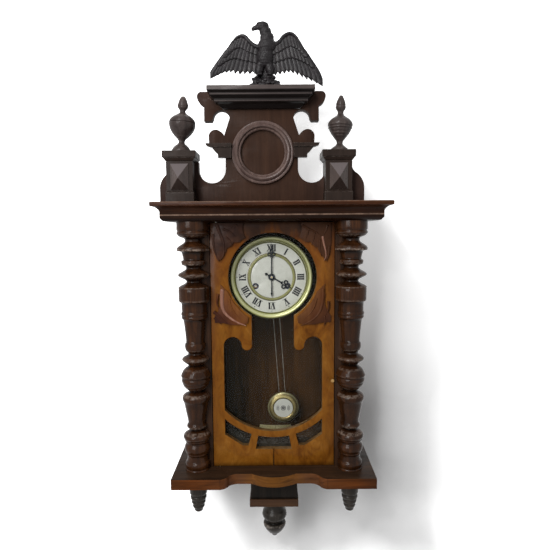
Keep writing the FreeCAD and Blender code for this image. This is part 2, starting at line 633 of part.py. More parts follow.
# Eagle: right half wing and body sections in shares of span, height and thickness
WING_SHARES = [
    (0.10, 0.65), (0.13, 0.75), (0.165, 0.82), (0.205, 0.845), (0.25, 0.82), (0.285, 0.75),
    (0.335, 0.6), (0.39, 0.43), (0.45, 0.27), (0.5, 0.14), (0.44, 0.16), (0.4, 0.15),
    (0.355, 0.2), (0.31, 0.2), (0.27, 0.25), (0.225, 0.25), (0.19, 0.29), (0.14, 0.26), (0.09, 0.25),
]
EAGLE_SECTIONS = [
    # level, centre across, half width across, half depth, each a share of its own size
    (0.17, 0.0, 0.085, 0.3), (0.3, 0.0, 0.1, 0.42), (0.45, 0.0, 0.115, 0.5), (0.6, 0.005, 0.1, 0.47),
    (0.7, 0.01, 0.07, 0.36), (0.8, 0.01, 0.055, 0.28), (0.88, 0.0, 0.055, 0.27), (0.96, -0.02, 0.05, 0.24),
    (1.0, -0.025, 0.02, 0.1),
]


def oval(x, y, z, half_wide, half_deep):
    """A closed smooth curve in a level plane, as four arcs' worth of one spline."""
    points = []
    for k in range(8):
        angle = math.tau * k / 8
        points.append(Vector(x + half_wide * math.cos(angle), y + half_deep * math.sin(angle), z))
    curve = Part.BSplineCurve()
    curve.interpolate(points, PeriodicFlag=True)
    return Part.Wire(curve.toShape())


def make_eagle(level):
    tall, span = size.eagle_height.number, size.eagle_span.number
    deep, thin = size.eagle_thickness.number, size.wing_thickness.number
    wires = [oval(span * x, 0, tall * z, span * w, deep * d) for z, x, w, d in EAGLE_SECTIONS]
    trunk = Part.makeLoft(wires, True, False)
    wings = []
    for sign in (1, -1):
        points = [Vector(sign * span * x, 0, tall * z) for x, z in WING_SHARES]
        face = Part.Face(Part.makePolygon(points + points[:1]))
        slab = face.extrude(Vector(0, deep, 0))
        slab.translate(Vector(0, -deep / 2, 0))
        # The wings are dished, so that their tips come forward of their roots
        radius = span * 0.75
        back = Part.makeCylinder(radius + thin, tall * 1.4, Vector(0, -radius + deep * 0.28, -tall * 0.2))
        hollow = Part.makeCylinder(radius, tall * 1.4, Vector(0, -radius + deep * 0.28, -tall * 0.2))
        shell = back.cut(hollow)
        wings.append(slab.common(shell))
    beak = [Vector(-span * 0.125, 0, tall * 0.9), Vector(-span * 0.12, 0, tall * 0.87),
            Vector(-span * 0.09, 0, tall * 0.868), Vector(-span * 0.03, 0, tall * 0.85),
            Vector(-span * 0.02, 0, tall * 0.97), Vector(-span * 0.08, 0, tall * 0.955),
            Vector(-span * 0.11, 0, tall * 0.93)]
    bill = Part.Face(Part.makePolygon(beak + beak[:1])).extrude(Vector(0, deep * 0.3, 0))
    bill.translate(Vector(0, -deep * 0.15, 0))
    rock = Part.makeLoft([oval(0, 0, 0, span * 0.155, deep * 0.8),
                          oval(0, 0, tall * 0.1, span * 0.13, deep * 0.66),
                          oval(0, 0, tall * 0.2, span * 0.09, deep * 0.4)], True, False)
    bird = trunk.fuse([*wings, bill, rock])
    depth = -size.crest_front + size.crest_thickness / 2 - size.cap_front / 2
    shaped("eagle", bird.removeSplitter(), (crest_x + size.eagle_shift, depth, level))


# Door: pierced panel, glass, beads, carvings, pivots and latch
def door_openings():
    """The outlines of the pierced panel, as a keyhole shaped light and three small windows."""
    radius, centre = size.round_radius, -size.round_drop
    neck, lobe, half = size.neck_half, size.lobe_half, half_door - size.rail_width
    level = -size.lobe_level
    crown = half - lobe
    tongue = half - lobe * 2
    joint = (radius.number ** 2 - neck.number ** 2) ** 0.5 / radius.number
    drop = centre - radius * joint
    sweep = size.sweep_radius
    low = door_low + size.sweep_rise
    hub = low + sweep
    side = (sweep.number ** 2 - half.number ** 2) ** 0.5 / sweep.number
    corner = hub - sweep * side
    chord_rise = (corner.number - low.number) / (2 * half.number)
    start = math.asin(neck.number / radius.number)
    # From the neck round to the level of the centre the arc is less than a quarter
    flank = math.tan((math.pi / 2 - start) / 4) / 2
    tip = level - lobe * 0.5
    right = [(neck, drop, 0), (neck, level, 0.2), ((neck + tongue) / 2, tip, 0.2),
             (tongue, level, -QUARTER), (crown, level + lobe, -QUARTER), (half, level, 0),
             (half, corner, -chord_rise)]
    left = [(-half, corner, 0), (-half, level, -QUARTER), (-crown, level + lobe, -QUARTER),
            (-tongue, level, 0.2), (-(neck + tongue) / 2, tip, 0.2),
            (-neck, level, 0), (-neck, drop, -flank)]
    top = [(-radius, centre, -QUARTER), (ZERO, centre + radius, -QUARTER), (radius, centre, -flank)]
    outer = sweep + size.band_width
    wall = (outer.number ** 2 - half.number ** 2) ** 0.5 / outer.number
    foot = door_low + size.foot_rail
    inner = half * 0.45
    inner_drop = hub - outer * ((outer.number ** 2 - inner.number ** 2) ** 0.5 / outer.number)
    angle_a = math.asin(half.number / outer.number)
    angle_b = math.asin(inner.number / outer.number)
    share = math.tan((angle_a - angle_b) / 4) / 2
    shelf = foot + (hub - outer * wall - foot) * 0.42
    windows = []
    for sign in (1, -1):
        windows.append([(inner * sign, inner_drop, share * sign), (half * sign, hub - outer * wall, 0),
                        (half * sign, shelf, 0), (half * sign * 0.64, foot, 0),
                        (inner * sign * 1.15, foot, 0)])
    pane = half * 0.32
    pane_drop = hub - outer * ((outer.number ** 2 - pane.number ** 2) ** 0.5 / outer.number)
    rise = math.tan(math.asin(pane.number / outer.number) / 2) / 2
    base = foot - size.tracery_width * 0.6
    windows.append([(-pane, pane_drop, rise), (pane, pane_drop, 0), (pane * 1.16, base, 0),
                    (-pane * 1.16, base, 0)])
    return [right + left + top] + windows


def make_door():
    low, high = door_low, door_high
    panel = body("door_frame", (ZERO, door_front + size.door_thickness, ZERO))
    edge = rectangle(-half_door, low, half_door, high)
    pad(panel, sketch_on(panel, "XZ_Plane", [edge] + door_openings()), size.door_thickness)
    rim = size.glass_rim
    rebate = rectangle(-half_door + rim, low + rim, half_door - rim, high - rim / 4)
    pocket(panel, sketch_on(panel, "XZ_Plane", [rebate]), size.rebate_depth, reverse=True)
    slit = rectangle(-size.joint_width / 2, low - size.overrun,
                     size.joint_width / 2, low + size.foot_rail)
    pocket(panel, sketch_on(panel, "XZ_Plane", [slit], size.door_thickness), size.joint_depth)
    for level, reverse in ((low, False), (high, True)):
        hole = ("circle", pivot_x, pivot_y - door_front - size.door_thickness, size.pivot_radius)
        pocket(panel, sketch_on(panel, "XY_Plane", [hole], level), size.pivot_length, reverse=not reverse)
    hole = ("circle", half_door - size.latch_inset, -size.latch_drop, size.latch_radius + size.fit)
    pocket(panel, sketch_on(panel, "XZ_Plane", [hole]), size.door_thickness, reverse=True)

    pins = body("door_pivots", (pivot_x, pivot_y, ZERO))
    reach = size.pivot_length
    # Each pin is driven into the door and turns in its socket plate
    for level in (low - size.door_gap - reach * 0.9, high - reach):
        pin = sketch_on(pins, "XY_Plane", [("circle", ZERO, ZERO, size.pivot_radius)], level)
        pad(pins, pin, reach * 1.9 + size.door_gap)
    sockets = body("pivot_sockets", (ZERO, ZERO, ZERO))
    outline = socket_outline()
    hole = ("circle", pivot_x, pivot_y, size.pivot_radius + size.fit)
    for level in (shelf_level - size.socket_thickness, cornice_level):
        plate = sketch_on(sockets, "XY_Plane", [outline, hole], level)
        pad(sockets, plate, size.socket_thickness)

    inset = size.door_gap / 3
    back = door_front + size.door_thickness
    depth = size.rebate_depth
    sheet_at = back - depth + size.glass_thickness
    glass = body("door_glass", (ZERO, sheet_at, ZERO))
    pane = rectangle(-half_door + rim + inset, low + rim + inset,
                     half_door - rim - inset, high - rim / 4 - inset)
    pad(glass, sketch_on(glass, "XZ_Plane", [pane]), size.glass_thickness)
    beads = body("glass_beads", (ZERO, back, ZERO))
    outer = rectangle(-half_door + rim, low + rim, half_door - rim, high - rim / 4)
    bead = size.bead_width
    inner = rectangle(-half_door + rim + bead, low + rim + bead,
                      half_door - rim - bead, high - rim / 4 - bead)
    pad(beads, sketch_on(beads, "XZ_Plane", [outer, inner]), depth - size.glass_thickness)

    latch = body("door_latch", (half_door - size.latch_inset, ZERO, -size.latch_drop))
    knob = size.latch_knob
    nose = -(door_front - size.latch_proud)
    stem = sketch_on(latch, "XZ_Plane", [("circle", ZERO, ZERO, size.latch_radius)],
                     -(stile_back + size.latch_clearance + size.latch_thickness))
    pad(latch, stem, nose - knob * 0.5 + stile_back + size.latch_clearance + size.latch_thickness)
    head = sketch_on(latch, "XZ_Plane", [("circle", ZERO, ZERO, knob)], nose - knob * 0.9)
    pad(latch, head, knob * 0.9)
    half = knob * 0.75
    tongue = [(-half, -half), (half, -half), (half, size.latch_tongue), (-half, size.latch_tongue)]
    flat = sketch_on(latch, "XZ_Plane", [tongue], -(stile_back + size.latch_clearance + size.latch_thickness))
    pad(latch, flat, size.latch_thickness)

    make_carvings()


# Leaf carvings of the door's four spandrels: shares of half the door width and of the round's radius
UPPER_LEAF_SHARES = [
    (0.94, 1.22, 0), (0.458, 1.22, -0.1), (0.432, 0.89, -0.05), (0.524, 0.79, 0.05), (0.617, 0.79, 0.1),
    (0.73, 0.66, 0.1), (0.802, 0.49, 0.08), (0.869, 0.375, 0.1), (0.905, 0.5, -0.05), (0.925, 0.69, 0.1),
    (0.94, 0.77, 0),
]
LOWER_LEAF_SHARES = [
    (0.843, -0.155, 0), (0.72, -0.33, -0.04), (0.576, -0.66, -0.04), (0.396, -0.9, 0), (0.411, -1.04, 0.05),
    (0.679, -1.07, -0.04), (0.94, -1.02, 0), (0.94, -0.87, 0), (0.884, -0.76, -0.1), (0.853, -0.4, -0.05),
]


def make_carvings():
    made = body("door_carvings", (ZERO, door_front, -size.round_drop))
    for table in (UPPER_LEAF_SHARES, LOWER_LEAF_SHARES):
        for sign in (-1, 1):
            points = [(half_door * (x * sign), size.round_radius * z, b * sign) for x, z, b in table]
            pad(made, sketch_on(made, "XZ_Plane", [points]), size.carving_thickness)


# Dial: pan with feet, bezel, chapter ring, centre disc, inner ring and hands
dial_x = size.dial_shift
dial_z = -size.dial_drop


def make_dial():
    at = (dial_x, dial_plane, dial_z)
    holes = [("circle", size.winding_offset * sign, -size.winding_drop, size.key_hole) for sign in (-1, 1)]
    pan = body("dial_pan", (dial_x, dial_plane + size.pan_thickness, dial_z))
    disc = [("circle", ZERO, ZERO, size.pan_radius), ("circle", ZERO, ZERO, size.centre_hole)]
    pad(pan, sketch_on(pan, "XZ_Plane", disc + holes), size.pan_thickness)
    feet = [("circle", size.foot_offset * sx, size.foot_offset * sz, size.foot_radius)
            for sx in (-1, 1) for sz in (-1, 1)]
    pad(pan, sketch_on(pan, "XZ_Plane", feet), size.motion_room, reverse=True)

    outer, inner, high = size.bezel_radius, size.bezel_bore, size.bezel_height
    wide = outer - inner
    section = [(size.enamel_radius + size.fit, ZERO), (size.pan_radius, ZERO),
               (size.pan_radius, size.pan_thickness), (outer, size.pan_thickness),
               (outer, -high * 0.45), (outer - wide * 0.12, -high * 0.85),
               (outer - wide * 0.32, -high), (outer - wide * 0.55, -high * 0.8),
               (inner + wide * 0.1, -high * 0.5), (inner, -size.enamel_thickness),
               (size.enamel_radius + size.fit, -size.enamel_thickness)]
    ring("dial_bezel", at, [section])
    section = [(size.ring_radius, ZERO), (size.enamel_radius, ZERO),
               (size.enamel_radius, -size.enamel_thickness), (size.ring_radius, -size.enamel_thickness)]
    ring("chapter_ring", at, [section])
    section = [(size.ring_bore, ZERO), (size.ring_radius, ZERO), (size.ring_radius, -size.ring_height * 0.7),
               ((size.ring_radius + size.ring_bore) / 2, -size.ring_height),
               (size.ring_bore, -size.ring_height * 0.7)]
    ring("centre_ring", at, [section])
    disc = body("centre_disc", at)
    plate = [("circle", ZERO, ZERO, size.ring_bore), ("circle", ZERO, ZERO, size.centre_hole)]
    pad(disc, sketch_on(disc, "XZ_Plane", plate + holes), size.disc_thickness)


def hand_shape(length, tail, blade, boss, hole, spread):
    """An ornate flat hand pointing up: boss, stem, pierced crown, spear tip and arrow tail."""
    thick = size.hand_thickness.number
    back = Vector(0, -1, 0)

    def disc(x, z, radius):
        return Part.makeCylinder(radius, thick, Vector(x, 0, z), back)

    def leaf(points):
        wire = Part.makePolygon([Vector(x, 0, z) for x, z in points + points[:1]])
        return Part.Face(wire).extrude(back * thick)

    crown = length * 0.79
    lobe = spread * 0.5
    pieces = [disc(0, 0, boss)]
    stem = [(-blade / 2, -tail * 0.85), (blade / 2, -tail * 0.85), (blade / 2, crown), (-blade / 2, crown)]
    arrow = [(-blade * 1.5, -tail * 0.86), (0, -tail), (blade * 1.5, -tail * 0.86), (0, -tail * 0.8)]
    collar = [(-spread * 0.9, crown - lobe), (0, crown - lobe * 1.7), (spread * 0.9, crown - lobe),
              (0, crown - lobe * 0.4)]
    pieces += [leaf(stem), leaf(arrow), leaf(collar)]
    for x, z in ((-lobe, crown), (lobe, crown), (0, crown + lobe * 1.1)):
        pieces.append(disc(x, z, lobe * 0.85))
    pieces.append(leaf([(-lobe * 0.7, crown + lobe * 1.5), (lobe * 0.7, crown + lobe * 1.5), (0, length)]))
    solid = pieces[0].fuse(pieces[1:])
    cuts = [disc(0, 0, hole)]
    for x, z in ((-lobe, crown), (lobe, crown), (0, crown + lobe * 1.1)):
        cuts.append(disc(x, z, lobe * 0.4))
    return solid.cut(cuts).removeSplitter()


def make_hands():
    face = dial_plane - size.enamel_thickness
    shape = hand_shape(size.hour_length.number, size.hour_tail.number, size.hand_width.number,
                       size.hour_pipe.number * 1.5, size.hour_pipe.number, size.hour_pipe.number * 1.9)
    shaped("hour_hand", shape, (dial_x, face - size.hour_lift, dial_z), ((0, 1, 0), 120))
    shape = hand_shape(size.minute_length.number, size.minute_tail.number, size.hand_width.number * 0.8,
                       size.cannon_radius.number * 1.6, size.cannon_radius.number,
                       size.hour_pipe.number * 1.6)
    shaped("minute_hand", shape, (dial_x, face - size.minute_lift, dial_z))


# Movement: plates, pillars, brackets and the trains
plate_front = dial_plane + size.pan_thickness + size.motion_room
gap_front = plate_front + size.plate_thickness
gap_back = gap_front + size.plate_gap
plate_back = gap_back + size.plate_thickness
GREAT, SECOND_PINION, SECOND, CENTRE_PINION = 60, 10, 60, 8
CENTRE, THIRD_PINION, THIRD, ESCAPE_PINION, ESCAPE = 60, 6, 60, 6, 30
CANNON, MINUTE, MINUTE_PINION, HOUR = 10, 30, 8, 32


def meeting_point(first, second, reach_first, reach_second, side):
    """The point at the two given distances from two arbors, to one side of the line between them."""
    dx, dz = second[0] - first[0], second[1] - first[1]
    span = math.hypot(dx, dz)
    along = (reach_first ** 2 - reach_second ** 2 + span ** 2) / (2 * span)
    across = math.sqrt(reach_first ** 2 - along ** 2) * side
    ux, uz = dx / span, dz / span
    return first[0] + ux * along - uz * across, first[1] + uz * along + ux * across


barrel_place = (size.winding_offset.number, -size.winding_drop.number)
centre_place = (0.0, 0.0)
second_place = meeting_point(centre_place, barrel_place,
                             size.second_module.number * (SECOND + CENTRE_PINION) / 2,
                             size.great_module.number * (GREAT + SECOND_PINION) / 2, -1)
escape_place = (0.0, size.escape_rise.number)
third_place = meeting_point(centre_place, escape_place,
                            size.centre_module.number * (CENTRE + THIRD_PINION) / 2,
                            size.third_module.number * (THIRD + ESCAPE_PINION) / 2, 1)
minute_place = (0.0, -size.motion_module.number * (CANNON + MINUTE) / 2)
anchor_place = (0.0, size.anchor_rise.number)


def gear(teeth, module, thick, phase, bore=0.0, arms=0, slim=False):
    """A toothed disc about Y from its rear face forward, with crossings where arms are given."""
    pitch = teeth * module / 2
    step = math.tau / teeth
    tip = pitch + module * (0.7 if slim else 0.75)
    root = pitch - module * (0.95 if slim else 1.0)
    points = []
    for k in range(teeth):
        angle = phase + k * step
        marks = [(-0.24, root), (0, tip), (0.24, root)]
        if slim:
            marks = [(-0.3, root), (-0.06, tip), (0.06, tip), (0.3, root)]
        for share, radius in marks:
            turn = angle + share * step
            points.append(Vector(radius * math.sin(turn), 0, radius * math.cos(turn)))
    disc = Part.Face(Part.makePolygon(points + points[:1])).extrude(Vector(0, -thick, 0))
    cuts = []
    if arms:
        rim, hub = root - module * 1.4, pitch * 0.24
        half_arm = pitch * 0.045
        for k in range(arms):
            lean = math.tau * k / arms
            span = math.tau / arms
            corners = []
            for radius, sign in ((hub, -1), (rim, -1), (rim, 0), (rim, 1), (hub, 1)):
                spread = (span / 2 - half_arm * 2 / radius) * sign
                turn = lean + spread
                corners.append(Vector(radius * math.sin(turn), 0, radius * math.cos(turn)))
            cuts.append(Part.Face(Part.makePolygon(corners + corners[:1])).extrude(Vector(0, -thick, 0)))
    if bore:
        cuts.append(Part.makeCylinder(bore, thick, Vector(), Vector(0, -1, 0)))
    return disc.cut(cuts) if cuts else disc


def rod(radius, rear, front, x=0.0, z=0.0):
    """A round bar about Y between two depths."""
    return Part.makeCylinder(radius, rear - front, Vector(x, rear, z), Vector(0, -1, 0))


def mesh_phase(place_a, teeth_a, phase_a, place_b, teeth_b):
    """The phase of gear b that puts a gap of it where gear a has a tooth, on the line between them."""
    dx, dz = place_b[0] - place_a[0], place_b[1] - place_a[1]
    line = math.atan2(dx, dz)
    tooth = (line - phase_a) / (math.tau / teeth_a)
    fraction = tooth - math.floor(tooth)
    back = line + math.pi
    return back + (fraction + 0.5) * math.tau / teeth_b


def on_movement(name, shape, spot):
    shaped(name, shape, (dial_x + Length(spot[0], f"{spot[0]:.6f}"), ZERO,
                         dial_z + Length(spot[1], f"{spot[1]:.6f}")))


def make_movement():
    front, back = gap_front.number, gap_back.number
    thick, great = size.wheel_thickness.number, size.great_thickness.number
    arbor, play = size.arbor_radius.number, size.fit.number
    stub = size.plate_thickness.number
    barrel, length = size.barrel_radius.number, size.barrel_length.number
    drum_front = front + size.great_thickness.number + size.plate_thickness.number * 0.6

    half_wide, half_tall = size.plate_width / 2, size.plate_tall / 2
    outline = rectangle(-half_wide, -half_tall, half_wide, half_tall)

    def holes():
        spots = [(barrel_place, size.barrel_arbor), ((-barrel_place[0], barrel_place[1]), size.barrel_arbor),
                 (centre_place, size.centre_arbor), (second_place, size.arbor_radius),
                 (third_place, size.arbor_radius), (escape_place, size.arbor_radius),
                 (anchor_place, size.arbor_radius), (hammer_place, size.arbor_radius)]
        return [("circle", Length(x, f"{x:.6f}"), Length(z, f"{z:.6f}"), radius + size.fit)
                for (x, z), radius in spots]

    for name, rear in (("front_plate", gap_front), ("back_plate", plate_back)):
        plate = body(name, (dial_x, rear, dial_z))
        pad(plate, sketch_on(plate, "XZ_Plane", [outline] + holes()), size.plate_thickness)
    # The minute wheel runs on a stud riveted into the front plate
    front_one = PARTS["front_plate"]
    stud = [("circle", ZERO, -size.motion_module * ((CANNON + MINUTE) / 2), size.arbor_radius)]
    pad(front_one, sketch_on(front_one, "XZ_Plane", stud, size.plate_thickness), size.motion_room * 0.66)
    pillars = body("movement_pillars", (dial_x, gap_back, dial_z))
    inset = size.pillar_inset
    spots = [("circle", (half_wide - inset) * sx, (half_tall - inset) * sz, size.pillar_radius)
             for sx in (-1, 1) for sz in (-1, 1)]
    pad(pillars, sketch_on(pillars, "XZ_Plane", spots), size.plate_gap)

    brackets = body("movement_brackets", (dial_x, -size.back_thickness, dial_z - half_tall))
    arm = size.bracket_width
    for sign in (-1, 1):
        near = half_wide * sign
        far = near - arm * sign
        loop = [(far, -size.bracket_height), (near, -size.bracket_height), (near, ZERO), (far, ZERO)]
        pad(brackets, sketch_on(brackets, "XZ_Plane", [loop]), -size.back_thickness - plate_front)
    for sign in (-1, 1):
        near = half_wide * sign
        far = near - arm * sign
        loop = [(far, -size.bracket_foot), (near, -size.bracket_foot), (near, -size.bracket_height),
                (far, -size.bracket_height)]
        pad(brackets, sketch_on(brackets, "XZ_Plane", [loop]), size.bracket_height / 2)

    # Barrels on their winding arbors, the great wheels at opposite ends of the two drums
    for name, x, forward in (("time_barrel", 1, True), ("strike_barrel", -1, False)):
        wheel_rear = drum_front if forward else drum_front + length + great
        drum = rod(barrel, drum_front + length, drum_front)
        wheel = gear(GREAT, size.great_module.number, great, 0.0)
        wheel.translate(Vector(0, wheel_rear, 0))
        solid = drum.fuse(wheel).cut(rod(size.barrel_arbor.number + play, back, front))
        on_movement(name, solid, (barrel_place[0] * x, barrel_place[1]))
    nose = dial_plane.number + size.enamel_thickness.number * 0.2
    square = size.key_square.number
    for name, x in (("time_winding_arbor", 1), ("strike_winding_arbor", -1)):
        stem = rod(size.barrel_arbor.number, back + stub, plate_front.number - stub)
        end = Part.makeBox(square, plate_front.number - stub - nose, square,
                           Vector(-square / 2, nose, -square / 2))
        on_movement(name, stem.fuse(end), (barrel_place[0] * x, barrel_place[1]))

    # The going train, each wheel meshed with the one before it
    great_phase = 0.0
    second_pinion_phase = mesh_phase(barrel_place, GREAT, great_phase, second_place, SECOND_PINION)
    rear_wheel = drum_front + length + great + thick * 2.4
    pinion = gear(SECOND_PINION, size.great_module.number, great * 1.6, second_pinion_phase, slim=True)
    pinion.translate(Vector(0, drum_front + great * 0.3, 0))
    wheel = gear(SECOND, size.second_module.number, thick, 0.0, arms=5)
    wheel.translate(Vector(0, rear_wheel, 0))
    solid = rod(arbor, back + stub, front - stub).fuse([pinion, wheel])
    on_movement("second_wheel", solid, second_place)

    centre_pinion_phase = mesh_phase(second_place, SECOND, 0.0, centre_place, CENTRE_PINION)
    pinion = gear(CENTRE_PINION, size.second_module.number, thick * 1.8, centre_pinion_phase, slim=True)
    pinion.translate(Vector(0, rear_wheel + thick * 0.4, 0))
    centre_rear = rear_wheel + thick * 5.2
    wheel = gear(CENTRE, size.centre_module.number, thick, 0.0, arms=5)
    wheel.translate(Vector(0, centre_rear, 0))
    nose = dial_plane.number - size.enamel_thickness.number - size.minute_lift.number
    solid = rod(size.centre_arbor.number, back + stub, nose - stub * 0.6).fuse([pinion, wheel])
    on_movement("centre_wheel", solid, centre_place)

    third_pinion_phase = mesh_phase(centre_place, CENTRE, 0.0, third_place, THIRD_PINION)
    pinion = gear(THIRD_PINION, size.centre_module.number, thick * 1.8, third_pinion_phase, slim=True)
    pinion.translate(Vector(0, centre_rear + thick * 0.4, 0))
    third_rear = rear_wheel + thick * 2.7
    wheel = gear(THIRD, size.third_module.number, thick, 0.0, arms=5)
    wheel.translate(Vector(0, third_rear, 0))
    solid = rod(arbor, back + stub, front - stub).fuse([pinion, wheel])
    on_movement("third_wheel", solid, third_place)

    escape_pinion_phase = mesh_phase(third_place, THIRD, 0.0, escape_place, ESCAPE_PINION)
    pinion = gear(ESCAPE_PINION, size.third_module.number, thick * 1.8, escape_pinion_phase, slim=True)
    pinion.translate(Vector(0, third_rear + thick * 0.4, 0))
    escape_rear = drum_front + length * 0.8
    radius = size.escape_radius.number
    points = []
    for k in range(ESCAPE):
        turn = math.tau * k / ESCAPE
        step = math.tau / ESCAPE
        for share, reach in ((0, radius), (0.12, radius), (0.45, radius * 0.84)):
            angle = turn + share * step
            points.append(Vector(reach * math.sin(angle), 0, reach * math.cos(angle)))
    wheel = Part.Face(Part.makePolygon(points + points[:1])).extrude(Vector(0, -thick, 0))
    ports = [rod(radius * 0.2, thick, -thick * 2, radius * 0.5 * math.sin(math.tau * k / 4),
                 radius * 0.5 * math.cos(math.tau * k / 4)) for k in range(4)]
    wheel = wheel.cut(ports)
    wheel.translate(Vector(0, escape_rear, 0))
    solid = rod(arbor, back + stub, front - stub).fuse([pinion, wheel])
    on_movement("escape_wheel", solid, escape_place)

    # Anchor with its arbor, pallets held clear of the wheel, and the crutch behind the back plate
    drop = anchor_place[1] - escape_place[1]
    room = size.pallet_room.number
    reach = math.hypot(radius + room, drop)
    yoke = []
    thick_anchor = thick * 2
    contact = (radius + room) * math.sqrt(0.5)
    pallet_z = -drop + contact
    for sign in (1, -1):
        points = [(0, 3.0 * arbor), (0, -arbor * 0.2), (sign * (contact + arbor * 0.9), pallet_z),
                  (sign * (contact + arbor * 1.5), pallet_z - arbor * 0.3),
                  (sign * (contact + arbor * 3.2), pallet_z + arbor * 1.4), (sign * arbor * 3.5, arbor * 1.2)]
        corners = [Vector(x, 0, z) for x, z in points]
        yoke.append(Part.Face(Part.makePolygon(corners + corners[:1])).extrude(Vector(0, -thick_anchor, 0)))
    yoke = yoke[0].fuse(yoke[1:])
    yoke.translate(Vector(0, escape_rear + thick * 0.5, 0))
    crutch_rear = plate_back.number + thick * 2.6
    staff = rod(arbor, crutch_rear, front - stub)
    hub = rod(arbor * 2, crutch_rear, crutch_rear - thick)
    wide = size.crutch_width.number
    strap = Part.makeBox(wide, thick, size.crutch_length.number,
                         Vector(-wide / 2, crutch_rear - thick, -size.crutch_length.number))
    foot = -size.crutch_length.number
    pin = rod(arbor, -size.pendulum_plane.number + thick * 2, crutch_rear - thick, 0, foot)
    eye = rod(wide / 2, crutch_rear, crutch_rear - thick, 0, foot)
    solid = staff.fuse([yoke, hub, strap, pin, eye])
    tilt = ((0, 1, 0), -size.swing_angle.number)
    shaped("anchor", solid, (dial_x, ZERO, dial_z + size.anchor_rise), tilt)

    # Motion work between the front plate and the dial
    module = size.motion_module.number
    rear = plate_front.number - thick
    hand_face = dial_plane.number - size.enamel_thickness.number
    hand_top = hand_face - size.hand_thickness.number
    pipe = rod(size.cannon_radius.number, rear, hand_top - size.minute_lift.number)
    teeth = gear(CANNON, module, thick * 1.4, 0.0, slim=True)
    teeth.translate(Vector(0, rear, 0))
    solid = pipe.fuse(teeth).cut(rod(size.centre_arbor.number + play, rear, nose - stub))
    on_movement("cannon_pinion", solid, centre_place)

    minute_phase = mesh_phase(centre_place, CANNON, 0.0, minute_place, MINUTE)
    wheel = gear(MINUTE, module, thick, minute_phase, arms=4)
    wheel.translate(Vector(0, rear - thick * 0.2, 0))
    pinion = gear(MINUTE_PINION, module, thick * 1.8, 0.0, slim=True)
    pinion.translate(Vector(0, rear - thick * 1.2, 0))
    solid = wheel.fuse(pinion).cut(rod(arbor + play, rear, rear - thick * 4))
    on_movement("minute_wheel", solid, minute_place)

    hour_phase = mesh_phase(minute_place, MINUTE_PINION, 0.0, centre_place, HOUR)
    wheel = gear(HOUR, module, thick, hour_phase)
    wheel.translate(Vector(0, rear - thick * 1.7, 0))
    pipe = rod(size.hour_pipe.number, rear - thick * 1.7, hand_top - size.hour_lift.number)
    core = rod(size.cannon_radius.number + play, rear, hand_face - size.minute_lift.number)
    solid = wheel.fuse(pipe).cut(core)
    on_movement("hour_wheel", solid, centre_place)


hammer_place = (-size.hammer_side.number, size.hammer_rise.number)


# Suspension, pendulum, bob and rating nut, built plumb about the pivot and hung at the swing angle
pendulum_length = dial_z + size.anchor_rise - shelf_level - size.bob_rise


